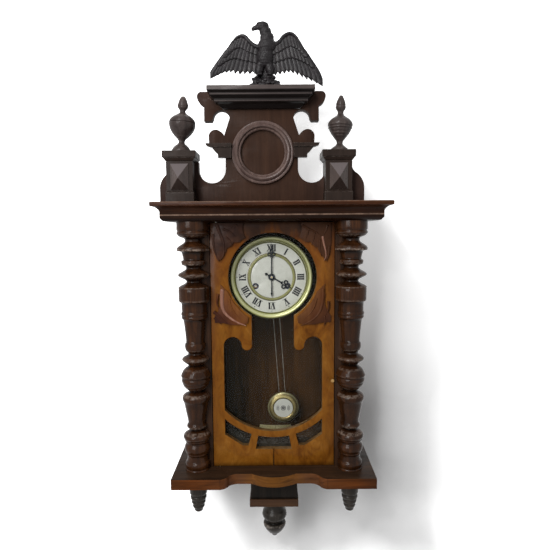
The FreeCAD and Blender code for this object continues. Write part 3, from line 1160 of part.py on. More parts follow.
def make_pendulum():
    plane = -size.pendulum_plane
    pivot = (dial_x, plane, dial_z + size.anchor_rise)
    tilt = ((0, 1, 0), -size.swing_angle.number)
    wide = size.clamp_width.number
    deep = size.spring_width.number
    pin = size.arbor_radius.number
    long = size.spring_length.number
    thin = size.spring_thickness.number
    clamp = Part.makeBox(wide, deep, wide * 0.9, Vector(-wide / 2, -deep / 2, -wide * 0.6))
    strip = Part.makeBox(thin, deep, long, Vector(-thin / 2, -deep / 2, -wide * 0.6 - long))
    lower = Part.makeBox(wide, deep, wide * 0.9, Vector(-wide / 2, -deep / 2, -wide * 1.4 - long))
    across = rod(pin, deep * 1.05, -deep * 1.05)
    shaped("suspension_spring", clamp.fuse([strip, lower, across]), pivot, tilt)

    cock = size.plate_thickness.number
    rise = wide * 0.55
    rear = plane.number + deep * 1.05
    cheek_top = rise + cock
    parts = [Part.makeBox(wide * 2, cock, wide * 1.6, Vector(-wide, plate_back.number, rise - cock * 0.2))]
    parts.append(Part.makeBox(wide * 1.4, rear - plate_back.number, cock,
                              Vector(-wide * 0.7, plate_back.number, rise)))
    for front_edge in (plane.number - deep * 1.05, plane.number + deep * 1.05 - cock * 0.7):
        parts.append(Part.makeBox(wide * 0.8, cock * 0.7, rise + wide * 0.35,
                                  Vector(-wide * 0.4, front_edge, -wide * 0.35)))
    solid = parts[0].fuse(parts[1:])
    solid = solid.cut(rod(pin + size.fit.number, rear + cock, plane.number - deep * 1.1))
    shaped("suspension_cock", solid.removeSplitter(), (dial_x, ZERO, dial_z + size.anchor_rise))

    top = -wide * 1.4 - long
    span = size.rod_spacing.number
    radius = size.rod_radius.number
    bar = wide * BAR_SHARE
    length = pendulum_length.number
    bob = size.bob_radius.number
    foot = -length + bob * 0.55
    upper = Part.makeBox(span + bar, radius * 4, bar, Vector(-(span + bar) / 2, -radius * 2, top - bar))
    crutch = size.crutch_length.number
    bridge = Part.makeBox(span + bar, radius * 2.4, bar,
                          Vector(-(span + bar) / 2, -radius * 1.2, -crutch - bar / 2))
    lower = Part.makeBox(span + bar, radius * 2.4, bar, Vector(-(span + bar) / 2, -radius * 1.2, foot - bar))
    wires = [Part.makeCylinder(radius, top - bar * 0.5 - foot + bar * 0.5, Vector(x, 0, foot - bar * 0.5))
             for x in (-span / 2, span / 2)]
    screw = Part.makeCylinder(size.screw_radius.number, bob * 1.1, Vector(0, 0, foot - bar - bob * 1.1))
    solid = upper.fuse([bridge, lower, screw, *wires])
    solid = solid.cut(rod(pin * 1.25, radius * 6, -radius * 6, 0, -crutch))
    shaped("pendulum_rods", solid.removeSplitter(), pivot, tilt)

    # The bob is a turned brass lens, slotted behind for the screw and nut
    thick, rim = size.bob_thickness, size.bob_rim
    half = thick / 2
    bob_pivot = (dial_x, plane - size.bob_forward, dial_z + size.anchor_rise)
    lens = body("pendulum_bob", bob_pivot, tilt)
    centre = -pendulum_length
    front_face = half * 0.62
    profile = [(ZERO, front_face), (size.bob_disc + size.fit, front_face),
               (size.bob_disc + size.fit, half * 0.85, 0), (size.bob_disc * 1.12, half, 0.06),
               (size.bob_radius - rim, half * 0.55, 0), (size.bob_radius, half * 0.3, 0.2),
               (size.bob_radius, -half * 0.3, 0), (size.bob_radius - rim, -half * 0.6, 0.04),
               (size.bob_disc, -half, 0), (ZERO, -half, 0)]
    lens_profile = [(p[0], -p[1]) + tuple(p[2:]) for p in profile]
    revolve(lens, sketch_on(lens, "XY_Plane", [lens_profile], centre))
    slot_half = (size.rod_spacing + size.clamp_width * BAR_SHARE) / 2 + size.slot_room
    slot = rectangle(-slot_half, centre - size.bob_radius - size.overrun,
                     slot_half, centre + size.bob_radius + size.overrun)
    pocket(lens, sketch_on(lens, "XZ_Plane", [slot], -half), size.slot_depth, reverse=True)
    disc = body("bob_disc", bob_pivot, tilt)
    face = sketch_on(disc, "XZ_Plane", [("circle", ZERO, centre, size.bob_disc)], front_face)
    pad(disc, face, half * 0.3)
    nut = body("rating_nut", pivot, tilt)
    level = centre - size.bob_radius * 0.3
    washer = [("circle", ZERO, ZERO, size.nut_reach), ("circle", ZERO, ZERO, size.screw_radius + size.fit)]
    pad(nut, sketch_on(nut, "XY_Plane", washer, level), size.nut_height)


# Gong, its block, the hammer and the beat scale
def make_strike():
    start, pitch = size.gong_start.number, size.gong_pitch.number
    strip, width = size.gong_strip.number, size.gong_width.number
    front = -size.gong_front.number

    def spiral(shift):
        edges = []
        sign = 1
        centre = 0.0
        radius = start
        for k in range(7):
            first = Vector(centre + sign * (radius + shift), 0, 0)
            last = Vector(centre - sign * (radius + shift), 0, 0)
            edges.append(Part.Arc(first, Vector(centre, 0, sign * (radius + shift)), last).toShape())
            centre += sign * pitch / 2
            radius += pitch / 2
            sign = -sign
        return edges

    inner, outer = spiral(0.0), spiral(strip)
    ends = [Part.LineSegment(inner[0].Vertexes[0].Point, outer[0].Vertexes[0].Point).toShape(),
            Part.LineSegment(inner[-1].Vertexes[-1].Point, outer[-1].Vertexes[-1].Point).toShape()]
    wire = Part.Wire(Part.__sortEdges__(inner + outer + ends))
    coil = Part.Face(wire).extrude(Vector(0, width, 0))
    block = size.gong_block.number
    stand = Part.makeBox(block, size.gong_front.number - size.back_thickness.number, block,
                         Vector(start + strip / 2 - block / 2, 0, -block))
    shaped("gong", coil.fuse(stand), (dial_x, -size.gong_front, dial_z))

    # Hammer: arbor through both plates, a wire arm and a brass head beside the outermost turn
    outermost = start + strip + pitch * 3
    head = size.hammer_radius.number
    gap = size.hammer_gap.number
    arbor = size.arbor_radius.number
    rear = plate_back.number + arbor * 2
    head_x = -(outermost + gap + head) - hammer_place[0]
    head_z = -hammer_place[1]
    staff = rod(arbor, rear + arbor, gap_front.number - size.plate_thickness.number)
    knee = Vector(head_x, rear, head_z)
    arm_length = math.hypot(head_x, head_z)
    arm = Part.makeCylinder(arbor, arm_length, Vector(0, rear, 0), Vector(head_x, 0, head_z))
    reach = rod(arbor, front + width, rear, head_x, head_z)
    striker = rod(head, front + width, front, head_x, head_z)
    solid = staff.fuse([arm, reach, striker])
    on_movement("strike_hammer", solid, hammer_place)

    made = body("beat_scale", (dial_x + size.scale_shift, -size.back_thickness,
                               shelf_level + size.scale_rise))
    half = size.scale_width / 2
    tall = size.scale_height
    points = [(-half, ZERO, 0.03), (half, ZERO, 0), (half * 1.03, tall * 0.5, 0),
              (half, tall, -0.03), (-half, tall, 0), (-half * 1.03, tall * 0.5, 0)]
    pad(made, sketch_on(made, "XZ_Plane", [points]), size.scale_thickness)


make_case()
make_cornice()
make_shelf()
make_columns()
cap_level = make_crest()
make_eagle(cap_level)
make_door()
make_dial()
make_hands()
make_movement()
make_pendulum()
make_strike()
doc.recompute()


def export_parts():
    """Checks every object and writes each sub-part's solids to its own file."""
    for item in doc.Objects:
        if "Invalid" in item.State or "Error" in item.State:
            raise RuntimeError(f"{item.Name} is {item.State}")
    for name, item in PARTS.items():
        shape = item.Shape
        if shape.isNull() or not shape.isValid() or not shape.Solids:
            raise RuntimeError(f"{name} has no valid solid")
        shape.exportStep(f"parts/{name}.step")
    print(len(PARTS), "parts")


export_parts()
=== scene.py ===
import math
import random

import bmesh
import bpy
from mathutils import Matrix, Vector, noise


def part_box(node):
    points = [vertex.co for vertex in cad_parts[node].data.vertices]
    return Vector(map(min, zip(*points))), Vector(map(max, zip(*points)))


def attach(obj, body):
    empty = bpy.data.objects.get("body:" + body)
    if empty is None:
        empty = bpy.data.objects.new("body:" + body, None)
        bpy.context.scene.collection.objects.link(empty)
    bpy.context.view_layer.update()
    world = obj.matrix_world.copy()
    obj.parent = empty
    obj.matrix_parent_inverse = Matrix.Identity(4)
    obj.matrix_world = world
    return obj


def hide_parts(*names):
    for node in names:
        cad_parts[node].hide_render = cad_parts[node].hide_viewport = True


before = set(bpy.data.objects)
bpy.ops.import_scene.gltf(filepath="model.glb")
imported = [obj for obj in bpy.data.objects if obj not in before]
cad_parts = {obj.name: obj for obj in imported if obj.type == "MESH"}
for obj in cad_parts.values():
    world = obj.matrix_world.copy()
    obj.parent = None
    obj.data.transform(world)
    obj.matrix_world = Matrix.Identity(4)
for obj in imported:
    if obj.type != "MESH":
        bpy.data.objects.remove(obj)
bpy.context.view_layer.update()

bpy.context.scene.view_settings.view_transform = "Standard"
mm = 0.001


# Backboard
# A wide walnut panel that closes the back of the case. Its grain runs upright and its varnish has gone brown and dull
# behind the glass, and painted shade darkens it towards both edges, where the sides shade it.
def tone(red, green, blue):
    """A colour in the usual steps of 0 to 255, as the shaders want it."""
    steps = [value / 255 for value in (red, green, blue)]
    return tuple(s / 12.92 if s <= 0.04045 else ((s + 0.055) / 1.055) ** 2.4 for s in steps) + (1.0,)


class Finish:
    """A surface finish: one shader, with short ways of adding textures to it."""

    def __init__(self, name, rough=0.5, shine=0.3, coat=0.0, coat_rough=0.15, metal=0.0):
        self.made = bpy.data.materials.new(name)
        self.made.use_nodes = True
        self.tree = self.made.node_tree
        self.skin = self.tree.nodes["Principled BSDF"]
        fixed = {"Roughness": rough, "Specular IOR Level": shine, "Coat Weight": coat,
                 "Coat Roughness": coat_rough, "Metallic": metal}
        for socket, value in fixed.items():
            self.skin.inputs[socket].default_value = value
        self.place = self.add("TexCoord", pick="Object")

    def feed(self, socket, value):
        if isinstance(value, bpy.types.NodeSocket):
            self.tree.links.new(value, socket)
        else:
            socket.default_value = value

    def node(self, kind, inputs=None, **settings):
        made = self.tree.nodes.new("ShaderNode" + kind)
        for key, value in settings.items():
            setattr(made, key, value)
        for key, value in (inputs or {}).items():
            self.feed(made.inputs[key], value)
        return made

    def add(self, kind, inputs=None, pick=0, **settings):
        """Adds a node and gives one of its outputs."""
        return self.node(kind, inputs, **settings).outputs[pick]

    def stretch(self, scale):
        return self.add("Mapping", {"Vector": self.place, "Scale": scale})

    def cloud(self, scale, detail=4, rough=0.55, bend=0.0, grain=None):
        """Soft noise, which a grain draws out along an axis."""
        inputs = {"Vector": self.stretch(grain) if grain else self.place, "Scale": scale, "Detail": detail,
                  "Roughness": rough, "Distortion": bend}
        return self.add("TexNoise", inputs)

    def ramp(self, share, *stops):
        made = self.node("ValToRGB", {0: share})
        elements = made.color_ramp.elements
        while len(elements) < len(stops):
            elements.new(0.5)
        for element, (place, colour) in zip(elements, stops):
            element.position = place
            element.color = colour if isinstance(colour, tuple) else (colour, colour, colour, 1.0)
        return made.outputs[0]

    def mottle(self, cloud, *stops):
        """Patches of a cloud, which is given as for cloud, between the stops of a ramp."""
        return self.ramp(self.cloud(*cloud), *stops)

    def blend(self, share, first, second, mode="MIX"):
        return self.add("Mix", {0: share, 6: first, 7: second}, 2, data_type="RGBA", blend_type=mode)

    def tint(self, colour, by, share=1.0):
        return self.blend(share, colour, by, "MULTIPLY")

    def sums(self, how, first, second=0.0, clamp=False):
        return self.add("Math", {0: first, 1: second}, operation=how, use_clamp=clamp)

    def times(self, first, second):
        return self.sums("MULTIPLY", first, second)

    def ruffle(self, value, cloud, by):
        """A value pushed up and down by a cloud."""
        return self.sums("ADD", value, self.times(self.sums("SUBTRACT", cloud, 0.5), by))

    def along(self, axis, low, high):
        """0 at the low place on an axis and 1 at the high one, in metres."""
        place = self.add("SeparateXYZ", {0: self.place}, "XYZ".index(axis))
        return self.add("MapRange", {"Value": place, "From Min": low, "From Max": high})

    def aside(self, left, right):
        """0 midway between two places across the clock, and 0.5 at each of them."""
        return self.sums("ABSOLUTE", self.sums("SUBTRACT", self.along("X", left, right), 0.5))

    def fronts(self, none, full):
        """1 where the surface faces the front and 0 where it is turned away."""
        normal = self.add("SeparateXYZ", {0: self.add("NewGeometry", pick="Normal")}, 1)
        return self.ramp(self.times(normal, -1.0), (none, 0.0), (full, 1.0))

    def edges(self, reach):
        """1 on the sharp edges of the piece, within a reach, and 0 on its flats."""
        rounded = self.add("Bevel", {"Radius": reach}, samples=4)
        flat = self.add("NewGeometry", pick="Normal")
        same = self.add("VectorMath", {0: rounded, 1: flat}, "Value", operation="DOT_PRODUCT")
        return self.ramp(self.sums("SUBTRACT", 1.0, same, True), (0.02, 0.0), (0.2, 1.0))

    def relief(self, height, depth, strength):
        bump = self.add("Bump", {"Height": height, "Distance": depth, "Strength": strength})
        self.feed(self.skin.inputs["Normal"], bump)

    def colour(self, value):
        self.feed(self.skin.inputs["Base Color"], value)

    def rough(self, value):
        self.feed(self.skin.inputs["Roughness"], value)


UPRIGHT, ACROSS = (1, 1, 0.07), (0.07, 1, 1)


class Timber(Finish):
    """Varnished wood: a figured ground, fine pores along the grain, patches of wear and grime, and on turned work ring
    crests made pale partly by a painted highlight and necks made dark partly by painted shade.
    """

    def __init__(self, name, dark, middle, light, grain=UPRIGHT, figure=38, rough=0.45, shine=0.1,
                 coat=0.1, pale_tone=None, wear_reach=0.0012, patches=9, turned=False):
        super().__init__(name, rough, shine, coat, 0.12)
        figures, streaks = self.cloud(figure, 6, 0.6, 1.1, grain), self.cloud(160, 5, 0.65, 0.4, grain)
        fibres, uneven = self.cloud(900, 3, 0.7, grain=grain), self.cloud(55, 5, 0.65)
        mixed = self.sums("ADD", self.times(figures, 0.62), self.times(streaks, 0.38))
        ground = self.ramp(mixed, (0.32, dark), (0.5, middle), (0.68, light))
        ground = self.tint(ground, self.ramp(fibres, (0.36, 0.62), (0.5, 1.0)), 0.35)
        ground = self.tint(ground, self.mottle((patches, 5, 0.6, 0.6), (0.3, 0.62), (0.62, 1.12)), 0.7)
        # Grime and painted shade darken the necks of turned work between their rings
        if turned:
            crest = self.add("Attribute", pick="Fac", attribute_name="crest")
            ground = self.tint(ground, self.ramp(crest, (0.2, 0.3), (0.5, 1.0)))
        # A pale tone lies on the sharp edges as wear; on turned work it lies on the ring crests instead, partly as wear
        # and partly as a painted highlight
        if pale_tone:
            where = self.ramp(crest, (0.58, 0.0), (0.8, 1.0)) if turned else self.edges(wear_reach)
            pale_share = self.times(where, self.mottle((140, 5, 0.7), (0.42, 0.0), (0.62, 1.0)))
            ground = self.blend(self.times(pale_share, 0.7), ground, pale_tone)
        self.ground = ground
        self.colour(ground)
        self.rough(self.ramp(uneven, (0.3, rough - 0.13), (0.7, rough + 0.17)))
        self.relief(self.sums("ADD", self.times(fibres, 0.5), self.times(uneven, 0.7)), 0.0004, 0.35)

    def tint_ground(self, by):
        """Darkens or lightens the wood by a colour or a share."""
        self.colour(self.tint(self.ground, by))


def ease(piece, width, angle=30):
    """Rounds off the edges of a piece that are sharper than an angle."""
    bevel = piece.modifiers.new("eased", "BEVEL")
    bevel.width, bevel.segments, bevel.limit_method = width, 2, "ANGLE"
    bevel.angle_limit = math.radians(angle)


def crease(piece, angle):
    """Breaks the smooth shading of a piece at the edges that are sharper than an angle."""
    piece.modifiers.new("creased", "EDGE_SPLIT").split_angle = math.radians(angle)


def dress(names, finish, eased=0.0, angle=38):
    """Gives CAD pieces their finish, welds and smooths them, and eases their sharp edges."""
    for name in names.split():
        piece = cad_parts[name]
        for slot in piece.material_slots:
            slot.material = finish.made
        custom = piece.data.attributes.get("custom_normal")
        if custom:
            piece.data.attributes.remove(custom)
        piece.data.polygons.foreach_set("use_smooth", [True] * len(piece.data.polygons))
        piece.modifiers.new("welded", "WELD").merge_threshold = 1e-5
        if eased:
            ease(piece, eased, angle)
        crease(piece, angle)


back_wood = Timber("old_back_panel", tone(58, 36, 18), tone(88, 58, 28), tone(110, 76, 38), rough=0.6, coat=0.0)
# Painted shade: the panel darkens towards both edges
back_wood.tint_ground(back_wood.ramp(back_wood.aside(-0.13, 0.13), (0.33, 1.0), (0.4, 0.6)))
dress("backboard", back_wood, 0.0005)


# Hanging plate
# A small steel plate let into the top of the backboard, with the hole that the wall screw takes.
# It was sawn from sheet and has gone dull and a little rusty.
plate_steel = Finish("dull_plate_steel", 0.5, 0.4, metal=0.9)
plate_steel.colour(plate_steel.mottle((220, 6, 0.7, 0.5), (0.45, tone(120, 118, 112)), (0.66, tone(96, 66, 46))))
plate_steel.relief(plate_steel.cloud(900), 0.0002, 0.4)
dress("hanger_plate", plate_steel, 0.0003)


# Case sides, top and face frame
# Four boards of dark stained walnut, butted and glued, with a face frame of two stiles and a rail
# in front. The door closes inside it, and the columns cover its stiles.
case_walnut = Timber("case_walnut", tone(34, 22, 16), tone(56, 38, 27), tone(78, 54, 38), pale_tone=tone(132, 108, 92))
dress("case_sides case_top_board", case_walnut, 0.0006)

# The frame's inner edges and the door wear one burr veneer: amber below, gone brown near the top
veneer = Finish("burr_veneer", 0.3, 0.06, 0.05, 0.1)
swirl = veneer.cloud(22, 7, 0.6, 2.0, (1, 1, 0.6))
flame = veneer.cloud(8, 6, 0.6, 1.4, (1.3, 1, 0.5))
amber = veneer.ramp(swirl, (0.32, tone(98, 56, 14)), (0.46, tone(122, 74, 20)), (0.58, tone(132, 84, 26)),
                    (0.72, tone(150, 100, 40)))
amber = veneer.tint(amber, veneer.mottle((64, 7, 0.66, 2.4, (1, 1, 0.35)), (0.36, 0.7), (0.5, 1.0)), 0.6)
eyes = veneer.add("TexVoronoi", {"Vector": veneer.stretch((1, 1, 0.8)), "Scale": 60.0})
knots = veneer.tint(amber, veneer.ramp(eyes, (0.05, 0.55), (0.16, 1.0)))
amber = veneer.blend(veneer.ramp(flame, (0.52, 0.0), (0.62, 0.8)), amber, knots)
height = veneer.ruffle(veneer.along("Z", -0.2, 0.0), flame, 1.3)
amber = veneer.tint(amber, veneer.ramp(height, (0.3, tone(255, 252, 248)), (0.62, tone(218, 200, 210))))
dusky = veneer.mottle((30, 5, 0.6), (0.35, tone(40, 27, 22)), (0.65, tone(68, 46, 34)))
amber = veneer.blend(veneer.ramp(height, (0.62, 0.0), (0.84, 0.92)), amber, dusky)
aside = veneer.aside(-0.134, 0.134)
upper = veneer.ramp(veneer.along("Z", -0.3, -0.1), (0.0, 0.35), (0.6, 0.9))
shaded = veneer.tint(veneer.ramp(veneer.ruffle(aside, flame, 0.12), (0.38, 0.0), (0.47, 0.9)), upper)
amber = veneer.blend(shaded, amber, tone(76, 42, 20))
amber = veneer.tint(amber, veneer.ramp(veneer.along("Z", -0.512, -0.5), (0.0, 0.35), (0.8, 1.0)))
core = veneer.mottle((60, 5, 0.55, 0.0, UPRIGHT), (0.35, tone(92, 66, 36)), (0.65, tone(136, 104, 66)))
surface = veneer.blend(veneer.fronts(0.4, 0.7), core, amber)
plain = veneer.mottle((120, 5, 0.55, 0.0, UPRIGHT), (0.35, tone(34, 22, 16)), (0.65, tone(66, 44, 30)))
veneer.colour(veneer.blend(veneer.ramp(aside, (0.464, 0.0), (0.468, 1.0)), surface, plain))
veneer.rough(veneer.mottle((46, 6, 0.65), (0.3, 0.22), (0.7, 0.5)))
veneer.relief(veneer.sums("ADD", swirl, veneer.cloud(700, 3, grain=UPRIGHT)), 0.0003, 0.25)
dress("face_frame", veneer, 0.0006)


# Cornice
# A deep moulding run in three steps and mitred at its corners: a worn bead along the top edge, a
# long dark hollow, a lighter bead, and a square foot. The stain is rubbed through along the edges.
cornice_wood = Timber("cornice_wood", tone(40, 20, 12), tone(66, 36, 20), tone(104, 60, 30), ACROSS, 22,
                      rough=0.34, shine=0.06, coat=0.05, pale_tone=tone(170, 140, 118), wear_reach=0.0018)
low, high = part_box("cornice")
level = cornice_wood.along("Z", low.z, high.z)
steps = cornice_wood.ramp(level, (0.0, 0.2), (0.3, 0.26), (0.42, 0.36), (0.62, 0.56), (0.8, 0.9), (1.0, 1.0))
beads = cornice_wood.ramp(level, (0.28, 0.0), (0.33, 0.95), (0.38, 0.0), (0.93, 0.0), (0.975, 0.4), (1.0, 0.5))
beads = cornice_wood.tint(beads, cornice_wood.mottle((90, 5, 0.7), (0.35, 0.35), (0.6, 1.0)))
cornice_wood.colour(cornice_wood.blend(beads, cornice_wood.tint(cornice_wood.ground, steps), tone(158, 130, 112)))
dress("cornice", cornice_wood, 0.0007)


# Shelf
# The bottom of the case is a thick board with a bowed and hollowed front. Its top is nearly black
# with dust and polish, and its front edge is lighter, golden in the middle where hands have rubbed it.
shelf_wood = Timber("shelf_wood", tone(30, 20, 14), tone(52, 36, 25), tone(72, 50, 34), ACROSS, 26,
                    rough=0.36, shine=0.06, coat=0.04, pale_tone=tone(126, 92, 62))
low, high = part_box("base_shelf")
gilded = shelf_wood.ramp(
    shelf_wood.aside(low.x, high.x), (0.0, tone(112, 70, 26)), (0.1, tone(106, 66, 28)), (0.16, tone(92, 58, 34)),
    (0.24, tone(88, 50, 24)), (0.4, tone(92, 48, 16)), (0.5, tone(74, 40, 16)))
gilded = shelf_wood.tint(gilded, shelf_wood.mottle((70, 6, 0.65, 1.5, ACROSS), (0.34, 0.5), (0.62, 1.25)))
shelf_wood.colour(shelf_wood.blend(shelf_wood.fronts(0.3, 0.55), shelf_wood.ground, gilded))
dress("base_shelf", shelf_wood, 0.0008)

# The shelf's end blocks are glued on, and their joints show as dark lines across the front
joint_gum = Finish("joint_gum", 0.8, 0.1)
joint_gum.colour(joint_gum.mottle((300,), (0.3, tone(16, 9, 6)), (0.7, tone(40, 24, 16))))


def settle(name, shape, finish, body, slot, replaced=None, smooth=True):
    """Turns a finished bmesh into a piece that rides on a body and takes a finish."""
    bmesh.ops.recalc_face_normals(shape, faces=shape.faces)
    for face in shape.faces:
        face.smooth = smooth
    mesh = bpy.data.meshes.new(name)
    shape.to_mesh(mesh)
    shape.free()
    mesh.materials.append(finish.made)
    made = bpy.data.objects.new(name, mesh)
    bpy.context.scene.collection.objects.link(made)
    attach(made, body)
    if replaced:
        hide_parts(replaced)
    return made


class Blank:
    """The points and faces of a piece in the making."""

    def __init__(self):
        self.points, self.faces = [], []

    def skin(self, rings, looped=False):
        """Joins rings of equal length, and closes the skin on itself or by a cap at each end."""
        first, count, total = len(self.points), len(rings[0]), len(rings)
        self.points += [Vector(spot) for ring in rings for spot in ring]
        for k in range(total if looped else total - 1):
            here, there = first + k * count, first + (k + 1) % total * count
            for j in range(count):
                after = (j + 1) % count
                self.faces.append([here + j, there + j, there + after, here + after])
        if not looped:
            self.faces.append([first + j for j in range(count)])
            self.faces.append([first + (total - 1) * count + j for j in reversed(range(count))])

    def slab(self, outline, front, thick):
        """Adds a flat shape in the XZ plane, given anticlockwise, between two depths."""
        self.skin([[(x, depth, z) for x, z in outline] for depth in (front, front + thick)])

    def pour(self, shape):
        """Adds everything to a bmesh and gives it back."""
        spots = [shape.verts.new(spot) for spot in self.points]
        for face in self.faces:
            shape.faces.new([spots[k] for k in face])
        return shape

    def piece(self, name, *facts, smooth=True):
        """The finished piece, from its finish, body, slot and the node it replaces. The slot is not used."""
        return settle(name, self.pour(bmesh.new()), *facts, smooth=smooth)


def bar(half_foot, foot, half_head, head, middle=0.0):
    """The corners of an upright bar that may differ in width at its foot and its head."""
    return [(middle - half_foot, foot), (middle + half_foot, foot), (middle + half_head, head),
            (middle - half_head, head)]


joint_x, joint_half, joint_proud = 106.5 * mm, 0.25 * mm, 0.02 * mm
joints = Blank()
for edge in (-joint_x, joint_x):
    joints.slab(bar(joint_half, low.z, joint_half, high.z, edge), low.y - joint_proud, joint_proud * 2)
joints.piece("shelf_joints", joint_gum, "case", "shelf_wood", smooth=False)


# Pendant box, plate and finial, and the two drops
# Below the shelf hangs an ebonised box with a moulded plate under it, a large turned finial, and a
# smaller turned drop under each column. They are black, with brown where the stain is thin.
ebony = Timber("ebonised_wood", tone(12, 9, 7), tone(22, 18, 14), tone(36, 29, 24), rough=0.4, shine=0.06,
               coat=0.04, pale_tone=tone(92, 72, 62))
dress("pendant_box", ebony, 0.0006)
plate_wood = Timber("pendant_plate_wood", tone(36, 23, 14), tone(62, 40, 25), tone(82, 56, 36), ACROSS,
                    pale_tone=tone(110, 84, 64))
dress("pendant_plate", plate_wood, 0.0007)
turned_ebony = Timber("turned_ebony", tone(24, 21, 18), tone(44, 39, 34), tone(68, 62, 56), rough=0.34,
                      pale_tone=tone(140, 130, 122), turned=True)
dress("pendant_finial drop_finials", turned_ebony)


def turned(name, axis, outline, finish, body, slot, replaced, lean=0.0, flat_at=None):
    """Turned work about an upright axis, from (height, radius) pairs in millimetres.

    Its corners are rounded as the gouge leaves them. How far each ring stands out from its neighbours is noted on its
    points as crest, so that rings are made pale, partly as wear and partly as a painted highlight, and necks dark,
    partly as grime and partly as painted shade."""
    around, nearby, full_crest = 56, 5.5, 9
    line = [Vector(outline[0])]
    for a, b in zip(outline, outline[1:]):
        line += [Vector(a).lerp(Vector(b), share) for share in (0.24, 0.76)]
    line.append(Vector(outline[-1]))
    blank, crests = Blank(), []
    for height, radius in line:
        near = [r for h, r in line if abs(h - height) < nearby]
        proud = (radius - sum(near) / len(near)) / full_crest
        crests += [min(max(0.5 + proud, 0.0), 1.0)] * around
    turns = [math.tau * k / around for k in range(around)]
    blank.skin([[Vector((radius * math.cos(turn), radius * math.sin(turn), height)) * mm for turn in turns]
                for height, radius in line])
    shape = blank.pour(bmesh.new())
    crest = shape.verts.layers.float.new("crest")
    for spot, proud in zip(shape.verts, crests):
        spot[crest] = proud
    foot = Vector((0, 0, min(outline[0][0], outline[-1][0]) * mm))
    tilt = Matrix.Translation(foot) @ Matrix.Rotation(math.radians(lean), 4, "Y") @ Matrix.Translation(-foot)
    bmesh.ops.transform(shape, matrix=Matrix.Translation(Vector(axis) * mm) @ tilt, verts=shape.verts)
    if flat_at is not None:
        bmesh.ops.bisect_plane(shape, geom=shape.verts[:] + shape.edges[:] + shape.faces[:],
                               plane_co=(0, flat_at * mm, 0), plane_no=(0, 1, 0), clear_outer=True)
        bmesh.ops.holes_fill(shape, edges=[edge for edge in shape.edges if edge.is_boundary], sides=0)
    crease(settle(name, shape, finish, body, slot, replaced), 58)


FINIAL_OUTLINE = [
    (-588.6, 17.0), (-606.0, 17.4), (-609.0, 18.4), (-614.5, 20.6), (-619.0, 24.3), (-625.0, 26.4), (-631.0, 25.6),
    (-636.5, 21.6), (-640.5, 17.6), (-643.4, 15.2), (-644.6, 16.0), (-645.4, 22.6), (-647.2, 23.9), (-651.0, 23.5),
    (-656.0, 21.2), (-661.5, 17.6), (-666.5, 13.4), (-670.5, 8.6), (-672.8, 6.4), (-674.5, 5.8), (-676.4, 3.4),
    (-677.6, 0.6)]
turned("centre_finial", (0.6, -130, 0), FINIAL_OUTLINE, turned_ebony, "case", "ebonised_wood", "pendant_finial")
# Both drops are turned to one pattern
DROP_OUTLINE = [
    (-534.0, 17.6), (-556.0, 17.8), (-561.0, 17.6), (-563.0, 15.6), (-565.5, 14.8), (-567.0, 16.2), (-571.5, 16.4),
    (-573.5, 14.8), (-576.0, 13.0), (-577.5, 14.2), (-581.0, 14.3), (-583.0, 12.8), (-585.5, 11.2), (-587.0, 12.2),
    (-590.0, 12.2), (-592.5, 10.2), (-594.5, 9.0), (-597.0, 9.0), (-599.5, 7.6), (-601.5, 4.4), (-602.3, 0.5)]
for side, label in ((-1, "left"), (1, "right")):
    turned(f"drop_{label}", (156 * side, -162, 0), DROP_OUTLINE, turned_ebony, "case", "ebonised_wood", "drop_finials")


# Columns
# Two half columns turned from walnut in rings, bulbs and tapered drums, and planted on the stiles.
# Dust and knocks have left the crests of the rings pale, and the necks are almost black; a painted highlight adds to
# the pale crests and painted shade to the dark necks.
column_wood = Timber("column_walnut", tone(28, 14, 6), tone(54, 30, 14), tone(84, 50, 26), figure=46, rough=0.26,
                     shine=0.06, coat=0.16, pale_tone=tone(168, 150, 136), patches=26, turned=True)
dress("column_left column_right", column_wood)
